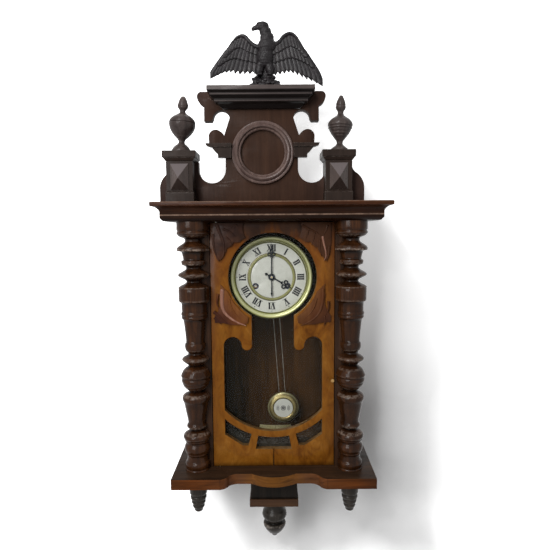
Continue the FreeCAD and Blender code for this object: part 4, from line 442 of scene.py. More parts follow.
# Heights below the hanging hole and radii, from the top of the column to its foot
COLUMN_OUTLINE = [
    (-6.0, 31.9), (-21.7, 32.2), (-22.9, 30.9), (-24.7, 30.6), (-26.2, 31.8), (-27.6, 32.2), (-29.6, 32.1),
    (-31.2, 30.7), (-33.6, 28.8), (-36.2, 24.7), (-37.6, 19.8), (-39.6, 16.4), (-43.6, 15.7), (-46.5, 17.2),
    (-49.5, 21.7), (-52.4, 26.5), (-55.4, 30.6), (-58.4, 32.2), (-61.3, 32.2), (-63.3, 32.2), (-64.6, 24.8),
    (-66.4, 22.9), (-71.4, 21.6), (-77.4, 20.3), (-81.4, 19.8), (-82.5, 23.5), (-84.3, 24.1), (-87.3, 24.0),
    (-90.4, 23.3), (-92.0, 20.7), (-93.4, 16.7), (-96.4, 14.2), (-99.4, 15.1), (-102.4, 19.0), (-105.4, 25.0),
    (-108.4, 29.9), (-111.4, 31.2), (-113.4, 30.2), (-115.8, 26.9), (-118.5, 21.3), (-120.9, 17.0),
    (-123.5, 14.3), (-126.6, 15.1), (-129.6, 20.0), (-132.5, 26.5), (-135.1, 30.4), (-136.7, 31.2),
    (-138.4, 30.3), (-140.0, 30.9), (-161.8, 30.6), (-164.5, 30.1), (-165.9, 25.5), (-182.2, 25.1),
    (-185.3, 25.0), (-186.9, 26.2), (-189.3, 26.7), (-192.0, 26.2), (-193.2, 25.0), (-194.8, 26.0),
    (-197.3, 25.9), (-199.3, 24.9), (-200.6, 22.3), (-223.1, 19.8), (-247.4, 17.6), (-249.1, 19.5),
    (-251.9, 20.7), (-258.1, 20.9), (-262.3, 19.6), (-265.4, 17.8), (-267.7, 14.6), (-270.6, 12.9),
    (-273.3, 15.4), (-276.3, 21.1), (-278.8, 25.4), (-281.9, 27.4), (-285.0, 25.8), (-288.2, 21.8),
    (-291.3, 17.8), (-295.1, 12.8), (-297.6, 15.9), (-300.6, 20.5), (-303.7, 24.2), (-307.9, 26.8),
    (-312.0, 28.5), (-315.2, 30.0), (-318.3, 29.3), (-320.4, 27.1), (-322.5, 28.6), (-325.6, 28.8),
    (-328.8, 28.3), (-330.9, 26.5), (-333.0, 27.0), (-337.2, 24.8), (-341.4, 21.5), (-345.0, 17.4),
    (-347.7, 13.0), (-350.5, 15.7), (-353.4, 22.4), (-357.1, 26.7), (-361.3, 28.1), (-365.5, 27.8),
    (-368.7, 26.4), (-370.4, 25.2), (-389.9, 21.6), (-413.9, 17.0), (-416.0, 18.1), (-419.6, 20.4),
    (-422.8, 20.1), (-425.6, 17.3), (-427.3, 14.0), (-429.2, 12.4), (-432.0, 17.4), (-435.5, 23.7),
    (-439.8, 27.3), (-444.1, 27.8), (-447.3, 26.5), (-449.4, 24.4), (-450.9, 25.3), (-453.7, 22.7),
    (-456.9, 22.1), (-460.1, 24.3), (-464.4, 26.0), (-469.8, 26.0), (-474.1, 24.4), (-477.3, 22.2),
    (-479.1, 23.1), (-481.2, 20.6), (-488.1, 20.8), (-494.6, 22.0), (-496.7, 24.3), (-499.9, 25.2),
    (-505.4, 25.2), (-508.8, 23.2), (-511.0, 24.9), (-513.0, 24.9)]
for side, label in ((-1, "left"), (1, "right")):
    turned(f"half_column_{label}", (157.5 * side, -153, 0), COLUMN_OUTLINE, column_wood, "case", "walnut",
           f"column_{label}", flat_at=-150.02)


# Crest board
# A fretted board of plain walnut stands on the cornice. Its middle is red-brown and its lugs and
# ends have faded to grey where the light falls on them.
crest_wood = Timber("crest_walnut", tone(44, 33, 27), tone(60, 45, 38), tone(72, 55, 46), figure=14, rough=0.52,
                    shine=0.05, coat=0.02, patches=7)
low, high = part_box("crest_board")
crest_wood.tint_ground(crest_wood.ramp(crest_wood.aside(low.x, high.x), (0.0, tone(255, 236, 220)),
                                 (0.2, tone(250, 232, 218)), (0.34, tone(240, 236, 244))))
dress("crest_board", crest_wood, 0.0008)


# Roundel, ledges, pedestals and caps
# A turned ring, two small moulded ledges, and at each end a pedestal with a faceted boss and a cap.
# All are grey-brown walnut, glued on and polished by handling on their rings and edges.
trim_wood = Timber("crest_trim_walnut", tone(66, 52, 47), tone(98, 80, 75), tone(122, 102, 95), rough=0.34,
                   coat=0.16, pale_tone=tone(160, 134, 120), wear_reach=0.0018)
dress("crest_roundel", trim_wood, angle=30)


def spin(blank, centre, profile, around):
    """Adds a ring turned about an axis from front to back, from (radius, depth) pairs in millimetres."""
    turns = [math.tau * k / around for k in range(around)]
    blank.skin([[centre + Vector((radius * math.cos(turn), depth, radius * math.sin(turn))) * mm
                 for radius, depth in profile] for turn in turns], looped=True)


def lathe(name, centre, profile, around, finish, slot, replaced=None):
    """A piece of the case that is one such ring."""
    blank = Blank()
    spin(blank, centre, profile, around)
    crease(blank.piece(name, finish, "case", slot, replaced), 35)


low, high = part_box("crest_roundel")
ring_centre = Vector(((low.x + high.x) / 2 + 2 * mm, 0, (low.z + high.z) / 2 - 1.6 * mm))
# From the board round the front of the ring and back
RING = [
    (65.5, -79.9), (65.5, -84.5), (64.6, -86.6), (62.4, -87.4), (60.2, -86.8), (59.0, -88.6), (57.4, -91.2),
    (55.0, -92.4), (52.6, -91.6), (51.4, -89.6), (50.4, -87.2), (48.6, -88.0), (46.8, -86.8), (46.0, -84.4),
    (46.0, -79.9)]
lathe("turned_roundel", ring_centre, RING, 112, trim_wood, "walnut", "crest_roundel")
pedestal_wood = Timber("pedestal_walnut", tone(34, 26, 22), tone(46, 36, 31), tone(58, 46, 40), figure=16, rough=0.4,
                       shine=0.06, coat=0.06, pale_tone=tone(150, 138, 130))
dress("crest_ledges", pedestal_wood, 0.0006)
# Each ledge has a thin plate on top that runs out to a point, and a hollow and a step under it
PLATE = [(64.8, 18.6), (119, 18.6), (117.4, 14.4), (110, 11.2), (64.8, 11.2)]
HOLLOW = [(65.2, 11.1), (107, 11.1), (103, 6.4), (98.4, 0.6), (93.6, -2.6), (93.2, -10.8), (66, -10.8)]
for side, label in ((-1, "left"), (1, "right")):
    ledge = Blank()
    for corners, front, thick in ((PLATE, -93.8, 13.8), (HOLLOW, -90.6, 10.6)):
        ledge.slab([(ring_centre.x + side * x * mm, ring_centre.z + z * mm) for x, z in corners[::-side]],
                   front * mm, thick * mm)
    ledge.piece(f"ledge_{label}", pedestal_wood, "case", "walnut", "crest_ledges", smooth=False)
dress("crest_pedestals pedestal_caps", pedestal_wood)
# The bosses are polished by dusting. Painted light pales the facets that face upward, and painted shade darkens the
# ones that face down.
boss_wood = Timber("boss_walnut", tone(58, 47, 43), tone(76, 63, 58), tone(92, 78, 74), figure=16, rough=0.3,
                   shine=0.2, coat=0.2, pale_tone=tone(160, 146, 138))
upward = boss_wood.add("SeparateXYZ", {0: boss_wood.add("NewGeometry", pick="True Normal")}, 2)
upward = boss_wood.sums("ADD", boss_wood.times(upward, 0.5), 0.5)
# Painted shade on the facets that face down, and painted light on those that face up
shaded = boss_wood.tint(boss_wood.ground, boss_wood.ramp(upward, (0.3, 0.5), (0.46, 0.9)))
boss_wood.colour(boss_wood.blend(boss_wood.ramp(upward, (0.55, 0.0), (0.72, 0.8)), shaded, tone(104, 95, 95)))

# Blocks from their lower to their upper face, each as half width, front, back and height
PEDESTAL = [((27.5, -112, -60.2, 58), (27.5, -112, -60.2, 119)),
            ((29.1, -113.8, -60.2, 31.02), (29.1, -113.8, -60.2, 55)),
            ((29.1, -113.8, -60.2, 55), (27.5, -112, -60.2, 58))]
CAP = [((34.5, -117.5, -56, 126), (34.5, -117.5, -56, 140)),
       ((28, -112.6, -60, 119.02), (33.2, -116.4, -57, 125.98))]
boss_half, boss_foot, boss_head, boss_point = 18.5, 60.5, 113.5, 83.5
boss_back, boss_front, boss_tip = -111, -113.4, -131


def stack(name, middle, blocks, eased, replaced):
    blank = Blank()
    for ends in blocks:
        blank.skin([[Vector((middle + x, y, z)) * mm
                     for x, y in ((-half, front), (half, front), (half, back), (-half, back))]
                    for half, front, back, z in ends])
    ease(blank.piece(name, pedestal_wood, "case", "walnut", replaced, smooth=False), eased * mm)


for middle, side in ((-189.5, "left"), (137.5, "right")):
    stack(f"pedestal_{side}", middle, PEDESTAL, 1.1, "crest_pedestals")
    # A four-sided boss stands on each pedestal, its point a little below the middle
    boss, corners = Blank(), bar(boss_half, boss_foot, boss_half, boss_head, middle)
    boss.points = [Vector((x, y, z)) * mm for y in (boss_back, boss_front) for x, z in corners]
    boss.points.append(Vector((middle, boss_tip, boss_point)) * mm)
    boss.faces.append((0, 1, 2, 3))
    for k, after in ((0, 1), (1, 2), (2, 3), (3, 0)):
        boss.faces += [(k, after, 4 + after, 4 + k), (4 + k, 4 + after, 8)]
    boss.piece(f"pedestal_boss_{side}", boss_wood, "case", "walnut", "crest_pedestals", smooth=False)
    stack(f"pedestal_cap_{side}", middle, CAP, 1.3, "pedestal_caps")


# Urns
# A turned urn stands on each cap and leans a little to the right. Each has a bud on top, a full body
# with rings scribed round it, a thin stem and a spreading foot; the right one has more rings.
urn_wood = Timber("urn_walnut", tone(44, 36, 33), tone(72, 62, 59), tone(98, 86, 82), rough=0.32, coat=0.14,
                  pale_tone=tone(180, 168, 160), turned=True)
dress("urn_finials", urn_wood)
LEFT_URN = [
    (254.6, 0.6), (253.4, 3.6), (250.8, 5.9), (246.8, 7.8), (240.7, 9.8), (236.0, 11.0), (233.6, 11.4), (232.6, 10.2),
    (231.4, 10.9), (228.6, 8.9), (225.6, 6.1), (222.6, 5.8), (220.6, 6.9), (217.5, 10.9), (214.5, 16.1), (210.4, 22.0),
    (206.4, 25.4), (202.3, 27.2), (200.2, 27.5), (199.2, 25.9), (197.9, 27.6), (195.2, 27.2), (190.1, 26.2),
    (184.0, 23.6),
    (177.9, 19.5), (171.8, 14.1), (167.7, 9.6), (163.7, 6.6), (159.6, 6.2), (156.5, 9.0), (153.4, 13.2), (149.0, 17.2),
    (145.0, 19.4), (143.6, 19.9), (140.02, 19.9)]
RIGHT_URN = [
    (254.2, 0.6), (253.0, 3.2), (250.0, 4.8), (245.0, 7.4), (238.0, 9.6), (234.0, 10.2), (232.8, 9.0), (231.4, 10.5),
    (227.4, 10.3), (223.4, 7.6), (220.4, 5.8), (216.0, 6.1), (212.2, 8.6), (208.4, 14.6), (204.2, 20.4), (199.4, 24.4),
    (195.0, 25.9), (191.4, 25.6), (190.2, 23.4), (188.8, 25.2), (186.2, 24.4), (184.8, 22.2), (183.6, 22.9),
    (179.6, 20.8),
    (178.6, 19.2), (177.4, 19.8), (173.4, 16.8), (172.2, 15.0), (171.2, 15.2), (165.4, 10.4), (160.4, 6.7),
    (156.2, 6.2),
    (153.2, 7.4), (149.6, 12.0), (146.0, 16.8), (144.0, 18.2), (140.02, 18.6)]
for label, middle, lean, outline in (("left", -189.0, 3.4, LEFT_URN), ("right", 141.5, 1.6, RIGHT_URN)):
    turned(f"urn_{label}", (middle, -88, 0), outline, urn_wood, "case", "walnut", "urn_finials", lean)


# Crest cap
# A moulded cap closes the crest: a plain grey fascia above, a dark hollow and beads below it, with thin painted
# highlights along the beads.
cap_wood = Timber("crest_cap_walnut", tone(44, 38, 37), tone(66, 58, 56), tone(84, 76, 74), ACROSS, 30, rough=0.36,
                  pale_tone=tone(150, 138, 132), wear_reach=0.0018)
low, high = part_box("crest_cap")
# Bands by height: a light fascia on top, darker mouldings below, and two thin painted highlights on the beads
steps = cap_wood.ramp(cap_wood.along("Z", low.z, high.z), (0.0, 0.24), (0.25, 0.3), (0.3, 1.5), (0.36, 0.24),
                      (0.56, 0.24), (0.61, 1.6), (0.66, 0.24), (0.78, 0.3), (0.82, 1.45), (1.0, 1.6))
cap_wood.tint_ground(steps)
dress("crest_cap", cap_wood, 0.0006)


# Eagle
# A carved eagle stands on a rock with its wings half spread and its head turned to the left. It is cut from close wood
# and painted charcoal, and painted highlights pick out the raised parts of its feathers, most near the body.
eagle_finish = Finish("charcoal_carving", 0.4, 0.16, 0.1, 0.2)
# Painted highlights: pale glints on the sharp edges, in patches, most near the body
glint_patches = eagle_finish.mottle((230, 6, 0.7, 0.6), (0.4, 0.0), (0.66, 1.0))
near_body = eagle_finish.ramp(eagle_finish.aside(-0.13, 0.104), (0.12, 0.75), (0.34, 0.12))
glints = eagle_finish.times(eagle_finish.times(eagle_finish.edges(0.0016), glint_patches), near_body)
charcoal = eagle_finish.mottle((60, 6, 0.65, 0.8), (0.3, tone(16, 12, 14)), (0.52, tone(29, 25, 27)),
                               (0.7, tone(48, 43, 45)))
eagle_finish.colour(eagle_finish.blend(glints, charcoal, tone(138, 132, 130)))
eagle_finish.rough(eagle_finish.mottle((120,), (0.3, 0.2), (0.7, 0.5)))
eagle_finish.relief(eagle_finish.cloud(900, 4, 0.7, grain=(1, 1, 0.25)), 0.0007, 0.7)

low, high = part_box("eagle")
# The foot of the bird's own axis, from which its measures in millimetres start. They were taken for
# a taller bird on a lower rock, so they are pressed down a little and lifted by the rock.
perch = Vector((-13 * mm, (low.y + high.y) / 2, low.z))
press, lift, rock_high = 0.968, 10.5, 24


def on_perch(x, y, z):
    return perch + Vector((x, y, z * press + lift * min(z / rock_high, 1))) * mm


def bowed(x, bow=3, wing_reach=115):
    """How far the wings bow to the front, a distance out from the bird's axis."""
    return bow * (abs(x) / wing_reach) ** 2


def ball(centre, radii, mesh, turn=0.0):
    """Adds one rounded lump, given by its three half sizes and its turn in the picture's plane."""
    place = Matrix.Translation(on_perch(*centre)) @ Matrix.Rotation(math.radians(turn), 4, "Y")
    place = place @ Matrix.Diagonal((*(r * mm for r in radii), 1))
    bmesh.ops.create_icosphere(mesh, subdivisions=3, radius=1.0, matrix=place)


def tube(blank, path, radii, sides, squash=1.0):
    """Adds a closed round tube along a path, with a radius at each of its points."""
    rings, side = [], None
    for k, spot in enumerate(path):
        way = (path[min(k + 1, len(path) - 1)] - path[max(k - 1, 0)]).normalized()
        if side is None:
            side = way.orthogonal().normalized()
        side = (side - way * side.dot(way)).normalized()
        up = way.cross(side)
        outs = [side * math.cos(turn) + up * math.sin(turn)
                for turn in (math.tau * j / sides for j in range(sides))]
        rings.append([spot + Vector((out.x, out.y * squash, out.z)) * radii[k] for out in outs])
    blank.skin(rings)


def curved(corners, steps=6):
    """A smooth path through a few corners, each stretch divided into even steps."""
    spots = [Vector(c) for c in corners]
    ends = [spots[0] * 2 - spots[1]] + spots + [spots[-1] * 2 - spots[-2]]
    path = []
    for k in range(len(spots) - 1):
        a, b, c, d = ends[k:k + 4]
        for i in range(steps):
            t = i / steps
            path.append(0.5 * (2 * b + (c - a) * t + (2 * a - 5 * b + 4 * c - d) * t * t
                               + (3 * b - a - 3 * c + d) * t ** 3))
    return path + [spots[-1]]


# Each wing across and up: its outline, the lines of its feathers' roots and tips, and its front edge
WINGS = {
    "left": (
        [(-6, 66), (-6, 76), (-17, 75), (-24, 79), (-31, 86), (-38, 95), (-46, 99), (-56, 95), (-66, 85), (-78, 67),
         (-95, 40), (-106, 21), (-98, 24), (-87, 29), (-75, 31), (-63, 28), (-45, 27), (-26, 26), (-8, 30)],
        [(-17, 74), (-29, 81), (-37, 90), (-46, 94), (-55, 90), (-63, 82), (-72, 70)],
        [(-20, 21), (-38, 21), (-55, 20), (-71, 23), (-86, 22), (-99, 18), (-112, 14)],
        [(-8, 74), (-20, 77), (-31, 86), (-39, 95.5), (-47, 98), (-57, 93.5), (-68, 81), (-82, 59), (-97, 35),
         (-110, 17)]),
    "right": (
        [(8, 66), (8, 76), (21, 81), (29, 85), (37, 94), (43, 100), (51, 103), (60, 100), (67, 93), (76, 77),
         (86, 58), (97, 39), (110, 14), (105, 14), (93, 18), (79, 21), (65, 26), (51, 29), (37, 29), (23, 26), (8, 30)],
        [(19, 76), (30, 83), (39, 92), (50, 98), (59, 95), (66, 87), (74, 73)],
        [(22, 19), (38, 21), (53, 23), (68, 19), (84, 13), (100, 9), (119, 2)],
        [(8, 74), (22, 80), (31, 86), (39, 96), (46, 100.5), (53, 102), (62, 97.5), (71, 85), (84, 62),
         (98, 36), (115, 9)]),
}
carving = bmesh.new()
# Head, beak, brow, neck, breast, belly, thighs, shins, toes and tail, from the head down
for centre, radii, turn in (
        ((-3.5, 0, 117), (12.8, 9, 10), 0), ((-10, -1, 122), (7, 7.2, 3.4), -8), ((-17.5, -1, 114),
        (8.2, 4.4, 5.2), -12),
        ((-23.8, -1, 111), (3.2, 2.4, 4.0), -20), ((2, 0, 106), (12.5, 9.5, 11), 0), ((5, 0, 94), (14.5, 10.5, 13), 0),
        ((5, 0, 78), (19, 13, 17), 0), ((1, 0, 54), (18, 13, 21), 0), ((-11, -1, 30), (9, 8, 15), 8),
        ((11, -1, 30), (9, 8, 15), -8), ((0, 6, 22), (14, 5, 19), 0), ((-12, -9, 19), (3.2, 6.5, 3.4), 0),
        ((-7, -10, 18.5), (2.8, 6.5, 3.2), 0), ((12, -9, 19), (3.2, 6.5, 3.4), 0), ((7, -10, 18.5),
        (2.8, 6.5, 3.2), 0)):
    ball(centre, radii, carving, turn)
# Rough lumps make the rock, in a ring that draws in as they rise
lumps, rocks = random.Random(4), 30
for k in range(rocks):
    turn = math.tau * k / rocks
    rise = lumps.uniform(0, 1)
    reach = 30 - 14 * rise
    ball((reach * math.cos(turn), min(11, reach * 0.42) * math.sin(turn), 3 + 14 * rise),
         (lumps.uniform(5, 8), lumps.uniform(4, 6), lumps.uniform(3, 4.5)), carving, lumps.uniform(-30, 30))
ball((0, 0, 8), (26, 12, 10), carving)
bones = Blank()
for outline, _, _, _ in WINGS.values():
    bones.skin([[on_perch(x, depth, z) for x, z in outline] for depth in (0.5, 4.5)])
for _, _, _, leading in WINGS.values():
    path = [on_perch(*spot) for spot in curved([(x, -1.5 - bowed(x), z) for x, z in leading])]
    bone_root, bone_loss = 5.4 * mm, 4.0 * mm
    radii = [bone_root - bone_loss * (k / (len(path) - 1)) ** 0.8 for k in range(len(path))]
    tube(bones, path, radii, 12)
trunk = settle("eagle_body", bones.pour(carving), eagle_finish, "case", "eagle_wood", "eagle")
remesh = trunk.modifiers.new("fused", "REMESH")
remesh.mode, remesh.voxel_size = "VOXEL", 1.1 * mm
trunk.modifiers.new("rounded", "SMOOTH").iterations = 2
bpy.context.view_layer.update()
fused = bpy.data.meshes.new_from_object(trunk.evaluated_get(bpy.context.evaluated_depsgraph_get()))
trunk.modifiers.clear()
trunk.data = fused


def feather_scales(point):
    """How far the carver's gouge cut at a point: rows of small scales on the body, rough rock below."""
    spot = (point - perch) / mm
    rock_top, body_right, body_left, row_high, scale_deep = 20, 22, -13, 5.2, 1.15
    if spot.z < rock_top:
        return 1.3 * noise.noise(spot * 0.32) + 0.6 * noise.noise(spot * 0.9)
    if abs(spot.x) > body_right or spot.x < body_left:
        return 0.3 * noise.noise(spot * 0.4)
    row = spot.z / row_high
    shift = 0.5 if int(row) % 2 else 0.0
    across = math.atan2(spot.y, spot.x - 4) * 3.2 + shift
    scale = (row % 1.0) * (1 - (2 * (across % 1.0) - 1) ** 2)
    return scale_deep * scale - 0.5 + 0.3 * noise.noise(spot * 0.5)


normals = [v.normal.copy() for v in fused.vertices]
for vertex, normal in zip(fused.vertices, normals):
    vertex.co += normal * feather_scales(vertex.co) * mm
    vertex.co.z = max(vertex.co.z, low.z)
fused.polygons.foreach_set("use_smooth", [True] * len(fused.polygons))


def plume(blank, root, tip, wide, layer):
    """Adds one feather from its root to its tip: a pointed blade, crowned along its quill."""
    start, end = Vector((root[0], 0, root[1])), Vector((tip[0], 0, tip[1]))
    way = end - start
    side = Vector((way.z, 0, -way.x)).normalized()
    rows, across = 9, 6
    first = len(blank.points)
    for i in range(rows + 1):
        t = i / rows
        half = wide / 2 * (0.55 + 0.45 * min(t * 2.4, 1)) * math.sqrt(max(1 - t ** 11, 0.0))
        for j in range(across + 1):
            s = 2 * j / across - 1
            spot = start + way * t + side * half * s
            crown = 0.8 * (1 - s * s) + (0.25 if j == across // 2 else 0.0)
            spot.y = layer - crown - bowed(spot.x) - 1.3 * t
            blank.points.append(on_perch(*spot))
    for i in range(rows):
        for j in range(across):
            a = first + i * (across + 1) + j
            blank.faces.append([a, a + 1, a + across + 2, a + across + 1])


def on_line(corners, share):
    """The point at a share of the way through a list of corners."""
    place = share * (len(corners) - 1)
    k = min(int(place), len(corners) - 2)
    return Vector(corners[k]).lerp(Vector(corners[k + 1]), place - k)


# Three rows of feathers, the long ones first and each shorter row lying over the last
count = 11
for label, (_, roots, tips, _) in WINGS.items():
    feathers = Blank()
    for reach, layer, wide in ((1.0, 0.5, 13.5), (0.62, -1.2, 12), (0.3, -2.6, 11)):
        for k in range(count):
            root, tip = on_line(roots, k / (count - 1)), on_line(tips, k / (count - 1))
            plume(feathers, root, root.lerp(tip, reach), wide, layer + 0.12 * (count - k))
    wing = feathers.piece(f"eagle_wing_{label}", eagle_finish, "case", "eagle_wood", "eagle")
    body = wing.modifiers.new("thick", "SOLIDIFY")
    body.thickness, body.offset = 1.5 * mm, 0


# Pivot sockets
# Brass plates let into the shelf and the cornice, in which the door's pins turn.
def brushed(finish, lines, low, high, strength=0.25):
    """Fine lines in a metal, between a low and a high roughness."""
    finish.rough(finish.ramp(lines, (0.3, low), (0.7, high)))
    finish.relief(lines, 0.0001, strength)


def brass(name, light, deep, rough=0.25):
    """Lacquered brass: a warm metal with fine lines from the lathe or the file and dull spots."""
    made = Finish(name, rough, 0.5, 0.1, 0.1, metal=1.0)
    spots = made.times(made.mottle((260, 6, 0.7, 0.4), (0.42, 0.0), (0.7, 1.0)), 0.5)
    ground = made.mottle((45, 5, 0.6), (0.3, deep), (0.6, light))
    made.colour(made.blend(spots, ground, tuple(c * 0.45 for c in deep[:3]) + (1.0,)))
    brushed(made, made.cloud(1500, 3, 0.6), rough - 0.1, rough + 0.14)
    return made


plain_brass = brass("clock_brass", tone(206, 172, 98), tone(158, 122, 62))
dress("pivot_sockets", plain_brass, 0.0002)


# Movement
# Two brass plates held apart by pillars, the two barrels, the wheels and their pinions on steel
# arbors, the motion work, the anchor and its crutch. It hangs on two iron brackets behind the dial.
dress("front_plate back_plate movement_pillars suspension_cock", plain_brass, 0.0002)
wheel_brass = brass("wheel_brass", tone(214, 184, 112), tone(170, 136, 74), 0.3)
dress("time_barrel strike_barrel second_wheel centre_wheel third_wheel escape_wheel minute_wheel hour_wheel",
      wheel_brass)


def steel(name, dark, light, rough=0.3):
    """Filed and polished steel with fine scratches and a few dull patches."""
    made = Finish(name, rough, 0.5, metal=1.0)
    made.colour(made.mottle((180, 6, 0.7, 0.6), (0.35, dark), (0.65, light)))
    brushed(made, made.cloud(1800, 3, 0.6, grain=(1, 1, 0.2)), rough - 0.12, rough + 0.16)
    return made


bright_steel = steel("bright_steel", tone(150, 150, 148), tone(204, 204, 200))
dress("cannon_pinion anchor time_winding_arbor strike_winding_arbor strike_hammer", bright_steel)
bracket_iron = Finish("bracket_iron", 0.65, 0.3, metal=0.6)
bracket_iron.colour(bracket_iron.mottle((150, 6), (0.35, tone(38, 36, 35)), (0.7, tone(84, 62, 50))))
bracket_iron.relief(bracket_iron.cloud(420, 6, 0.7), 0.0005, 0.6)
dress("movement_brackets", bracket_iron, 0.0004)


# Gong
# A flat steel strip coiled seven half turns and blued, held by a block on the backboard.
gong_steel = steel("blued_gong_steel", tone(34, 38, 52), tone(70, 78, 98), 0.35)
dress("gong", gong_steel)


# Dial
# A brass pan on four feet carries the bezel, an enamel chapter ring, a raised brass ring inside it
# and a separate enamel centre. The enamel is a warm white, faintly crazed and greyer near its rim.
def enamel(name, white, grey):
    made = Finish(name, 0.16, 0.5, 0.35, 0.06)
    cells = made.add("TexVoronoi", {"Vector": made.place, "Scale": 210.0}, feature="DISTANCE_TO_EDGE")
    mottled = made.mottle((38, 6, 0.65), (0.3, grey), (0.58, white))
    made.colour(made.tint(mottled, made.ramp(cells, (0.0, 0.9), (0.02, 1.0)), 0.5))
    made.rough(made.mottle((300,), (0.3, 0.12), (0.7, 0.24)))
    made.relief(made.cloud(120), 0.0002, 0.2)
    return made


dial_enamel = enamel("dial_enamel", tone(238, 240, 228), tone(220, 222, 208))
dress("chapter_ring centre_disc", dial_enamel, 0.0002)
dress("dial_pan", plain_brass)


def outward(finish, centre, low, high):
    """0 at the low distance from an axis that runs from front to back, and 1 at the high one."""
    flat = finish.add("VectorMath", {0: finish.place, 1: (centre.x, 0, centre.z)}, operation="SUBTRACT")
    flat = finish.add("VectorMath", {0: flat, 1: (1, 0, 1)}, operation="MULTIPLY")
    radius = finish.add("VectorMath", {0: flat}, "Value", operation="LENGTH")
    return finish.add("MapRange", {"Value": radius, "From Min": low, "From Max": high})


def ringed_brass(name, node, stops, dim_top, metal):
    """Spun brass painted with rings of reflection and highlight that follow its profile, (radius in millimetres,
    colour) from the middle out, and with painted shade towards its top.
    """
    made = Finish(name, 0.24, 0.5, 0.1, 0.1, metal)
    low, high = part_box(node)
    first, last = stops[0][0], stops[-1][0]
    share = outward(made, (low + high) / 2, first * mm, last * mm)
    rings = made.ramp(share, *(((r - first) / (last - first), colour) for r, colour in stops))
    shade = made.ramp(made.along("Z", low.z, high.z), (0.0, 0.85), (0.3, 1.0), (1.0, dim_top))
    made.colour(made.tint(made.tint(rings, shade), made.mottle((60, 5, 0.6), (0.3, 0.8), (0.7, 1.0))))
    brushed(made, made.cloud(1500), 0.24, 0.42, 0.2)
    dress(node, made, angle=25)
    return made


# The bands on the bezel and the inner ring are painted reflections and highlights of their rounded profiles
bezel_brass = ringed_brass("bezel_brass", "dial_bezel", [
    (72.6, tone(150, 150, 100)), (74.0, tone(214, 216, 160)), (75.4, tone(112, 112, 58)),
    (77.2, tone(168, 170, 92)), (81.0, tone(250, 252, 192)), (83.6, tone(214, 214, 138)),
    (85.2, tone(128, 126, 68)), (86.4, tone(86, 82, 42))], 0.55, 0.4)
ring_brass = ringed_brass("ring_brass", "centre_ring", [
    (43.6, tone(92, 90, 54)), (44.9, tone(172, 172, 112)), (47.8, tone(150, 148, 92)),
    (49.9, tone(84, 82, 52))], 0.8, 0.4)

low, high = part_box("chapter_ring")
dial_centre = Vector(((low.x + high.x) / 2, 0, (low.z + high.z) / 2))
enamel_front = low.y
ink_thick = 0.06 * mm
ink = Finish("fired_black_ink", 0.35, 0.4)
ink.colour(ink.mottle((900, 4, 0.7), (0.35, tone(14, 14, 18)), (0.7, tone(36, 36, 42))))
ink.relief(ink.cloud(1400), 0.00005, 0.3)

# Strokes of the numerals in shares of their height: left and right edge at the foot, then at the head
LETTERS = {
    "I": (0.3, [(0.03, 0.26, 0.03, 0.26)]),
    "V": (0.7, [(0.22, 0.46, 0.01, 0.24), (0.31, 0.4, 0.57, 0.67)]),
    "X": (0.7, [(0.45, 0.69, 0.01, 0.24), (0.03, 0.13, 0.56, 0.66)]),
}
numeral_foot, numeral_head = 53.2 * mm, 67.8 * mm
marks = Blank()


def on_dial(across, out, turn):
    """A point of the dial's face: a distance out from the centre, and across the hour's own line."""
    return (dial_centre.x + out * math.sin(turn) + across * math.cos(turn),
            dial_centre.z + out * math.cos(turn) - across * math.sin(turn))


def mark(corners, turn):
    """Adds one inked shape in an hour's own frame."""
    spots = [on_dial(across, out, turn) for across, out in corners]
    marks.slab(spots, enamel_front - ink_thick, ink_thick)


for hour, word in enumerate(("I", "II", "III", "IIII", "V", "VI", "VII", "VIII", "IX", "X", "XI", "XII"), start=1):
    turn = math.tau * hour / 12
    tall = numeral_head - numeral_foot
    wide = sum(LETTERS[letter][0] for letter in word) * tall
    at = -wide / 2
    serif = 0.07 * tall
    for letter in word:
        step, strokes = LETTERS[letter]
        for foot_left, foot_right, head_left, head_right in strokes:
            mark([(at + foot_left * tall, numeral_foot), (at + foot_right * tall, numeral_foot),
                  (at + head_right * tall, numeral_head), (at + head_left * tall, numeral_head)], turn)
        at += step * tall
    for level in (numeral_foot, numeral_head - serif):
        mark(bar(wide / 2, level, wide / 2, level + serif), turn)

# A ring of dots outside the numerals carries the minutes, with a larger one at each hour
dot_track = 71.6 * mm
for minute in range(60):
    size, sides = (1.05 * mm, 10) if minute % 5 == 0 else (0.34 * mm, 6)
    mark([(size * math.cos(math.tau * k / sides), dot_track + size * math.sin(math.tau * k / sides))
          for k in range(sides)], math.tau * minute / 60)
marks.piece("chapter_numerals", ink, "case", "enamel", smooth=False)

# The bezel is spun in one piece: a rolled rim, a long slope and a beaded lip that holds the enamel
BEZEL = [
    (86.4, -113.0), (86.4, -118.6), (85.7, -120.5), (84.3, -121.8), (82.4, -122.2), (80.2, -121.7), (78.4, -120.2),
    (76.8, -119.0), (75.8, -118.8), (75.0, -119.9), (74.0, -120.3), (73.0, -119.4), (72.6, -118.5),
    (72.6, -118.25), (74.6, -118.25), (74.6, -113.0)]
# It sits a little low and to the left in the door's opening
bezel_centre = dial_centre + Vector((-1.2, 0, -1.8)) * mm
lathe("spun_bezel", bezel_centre, BEZEL, 120, bezel_brass, "brass", "dial_bezel")
INNER_RING = [
    (49.9, -118.0), (49.9, -118.4), (48.4, -118.9), (47.2, -119.1), (46.0, -118.8), (44.8, -118.9),
    (43.6, -118.5), (43.6, -117.45), (46.4, -117.45), (46.4, -118.0)]
lathe("spun_centre_ring", dial_centre, INNER_RING, 96, ring_brass, "brass", "centre_ring")

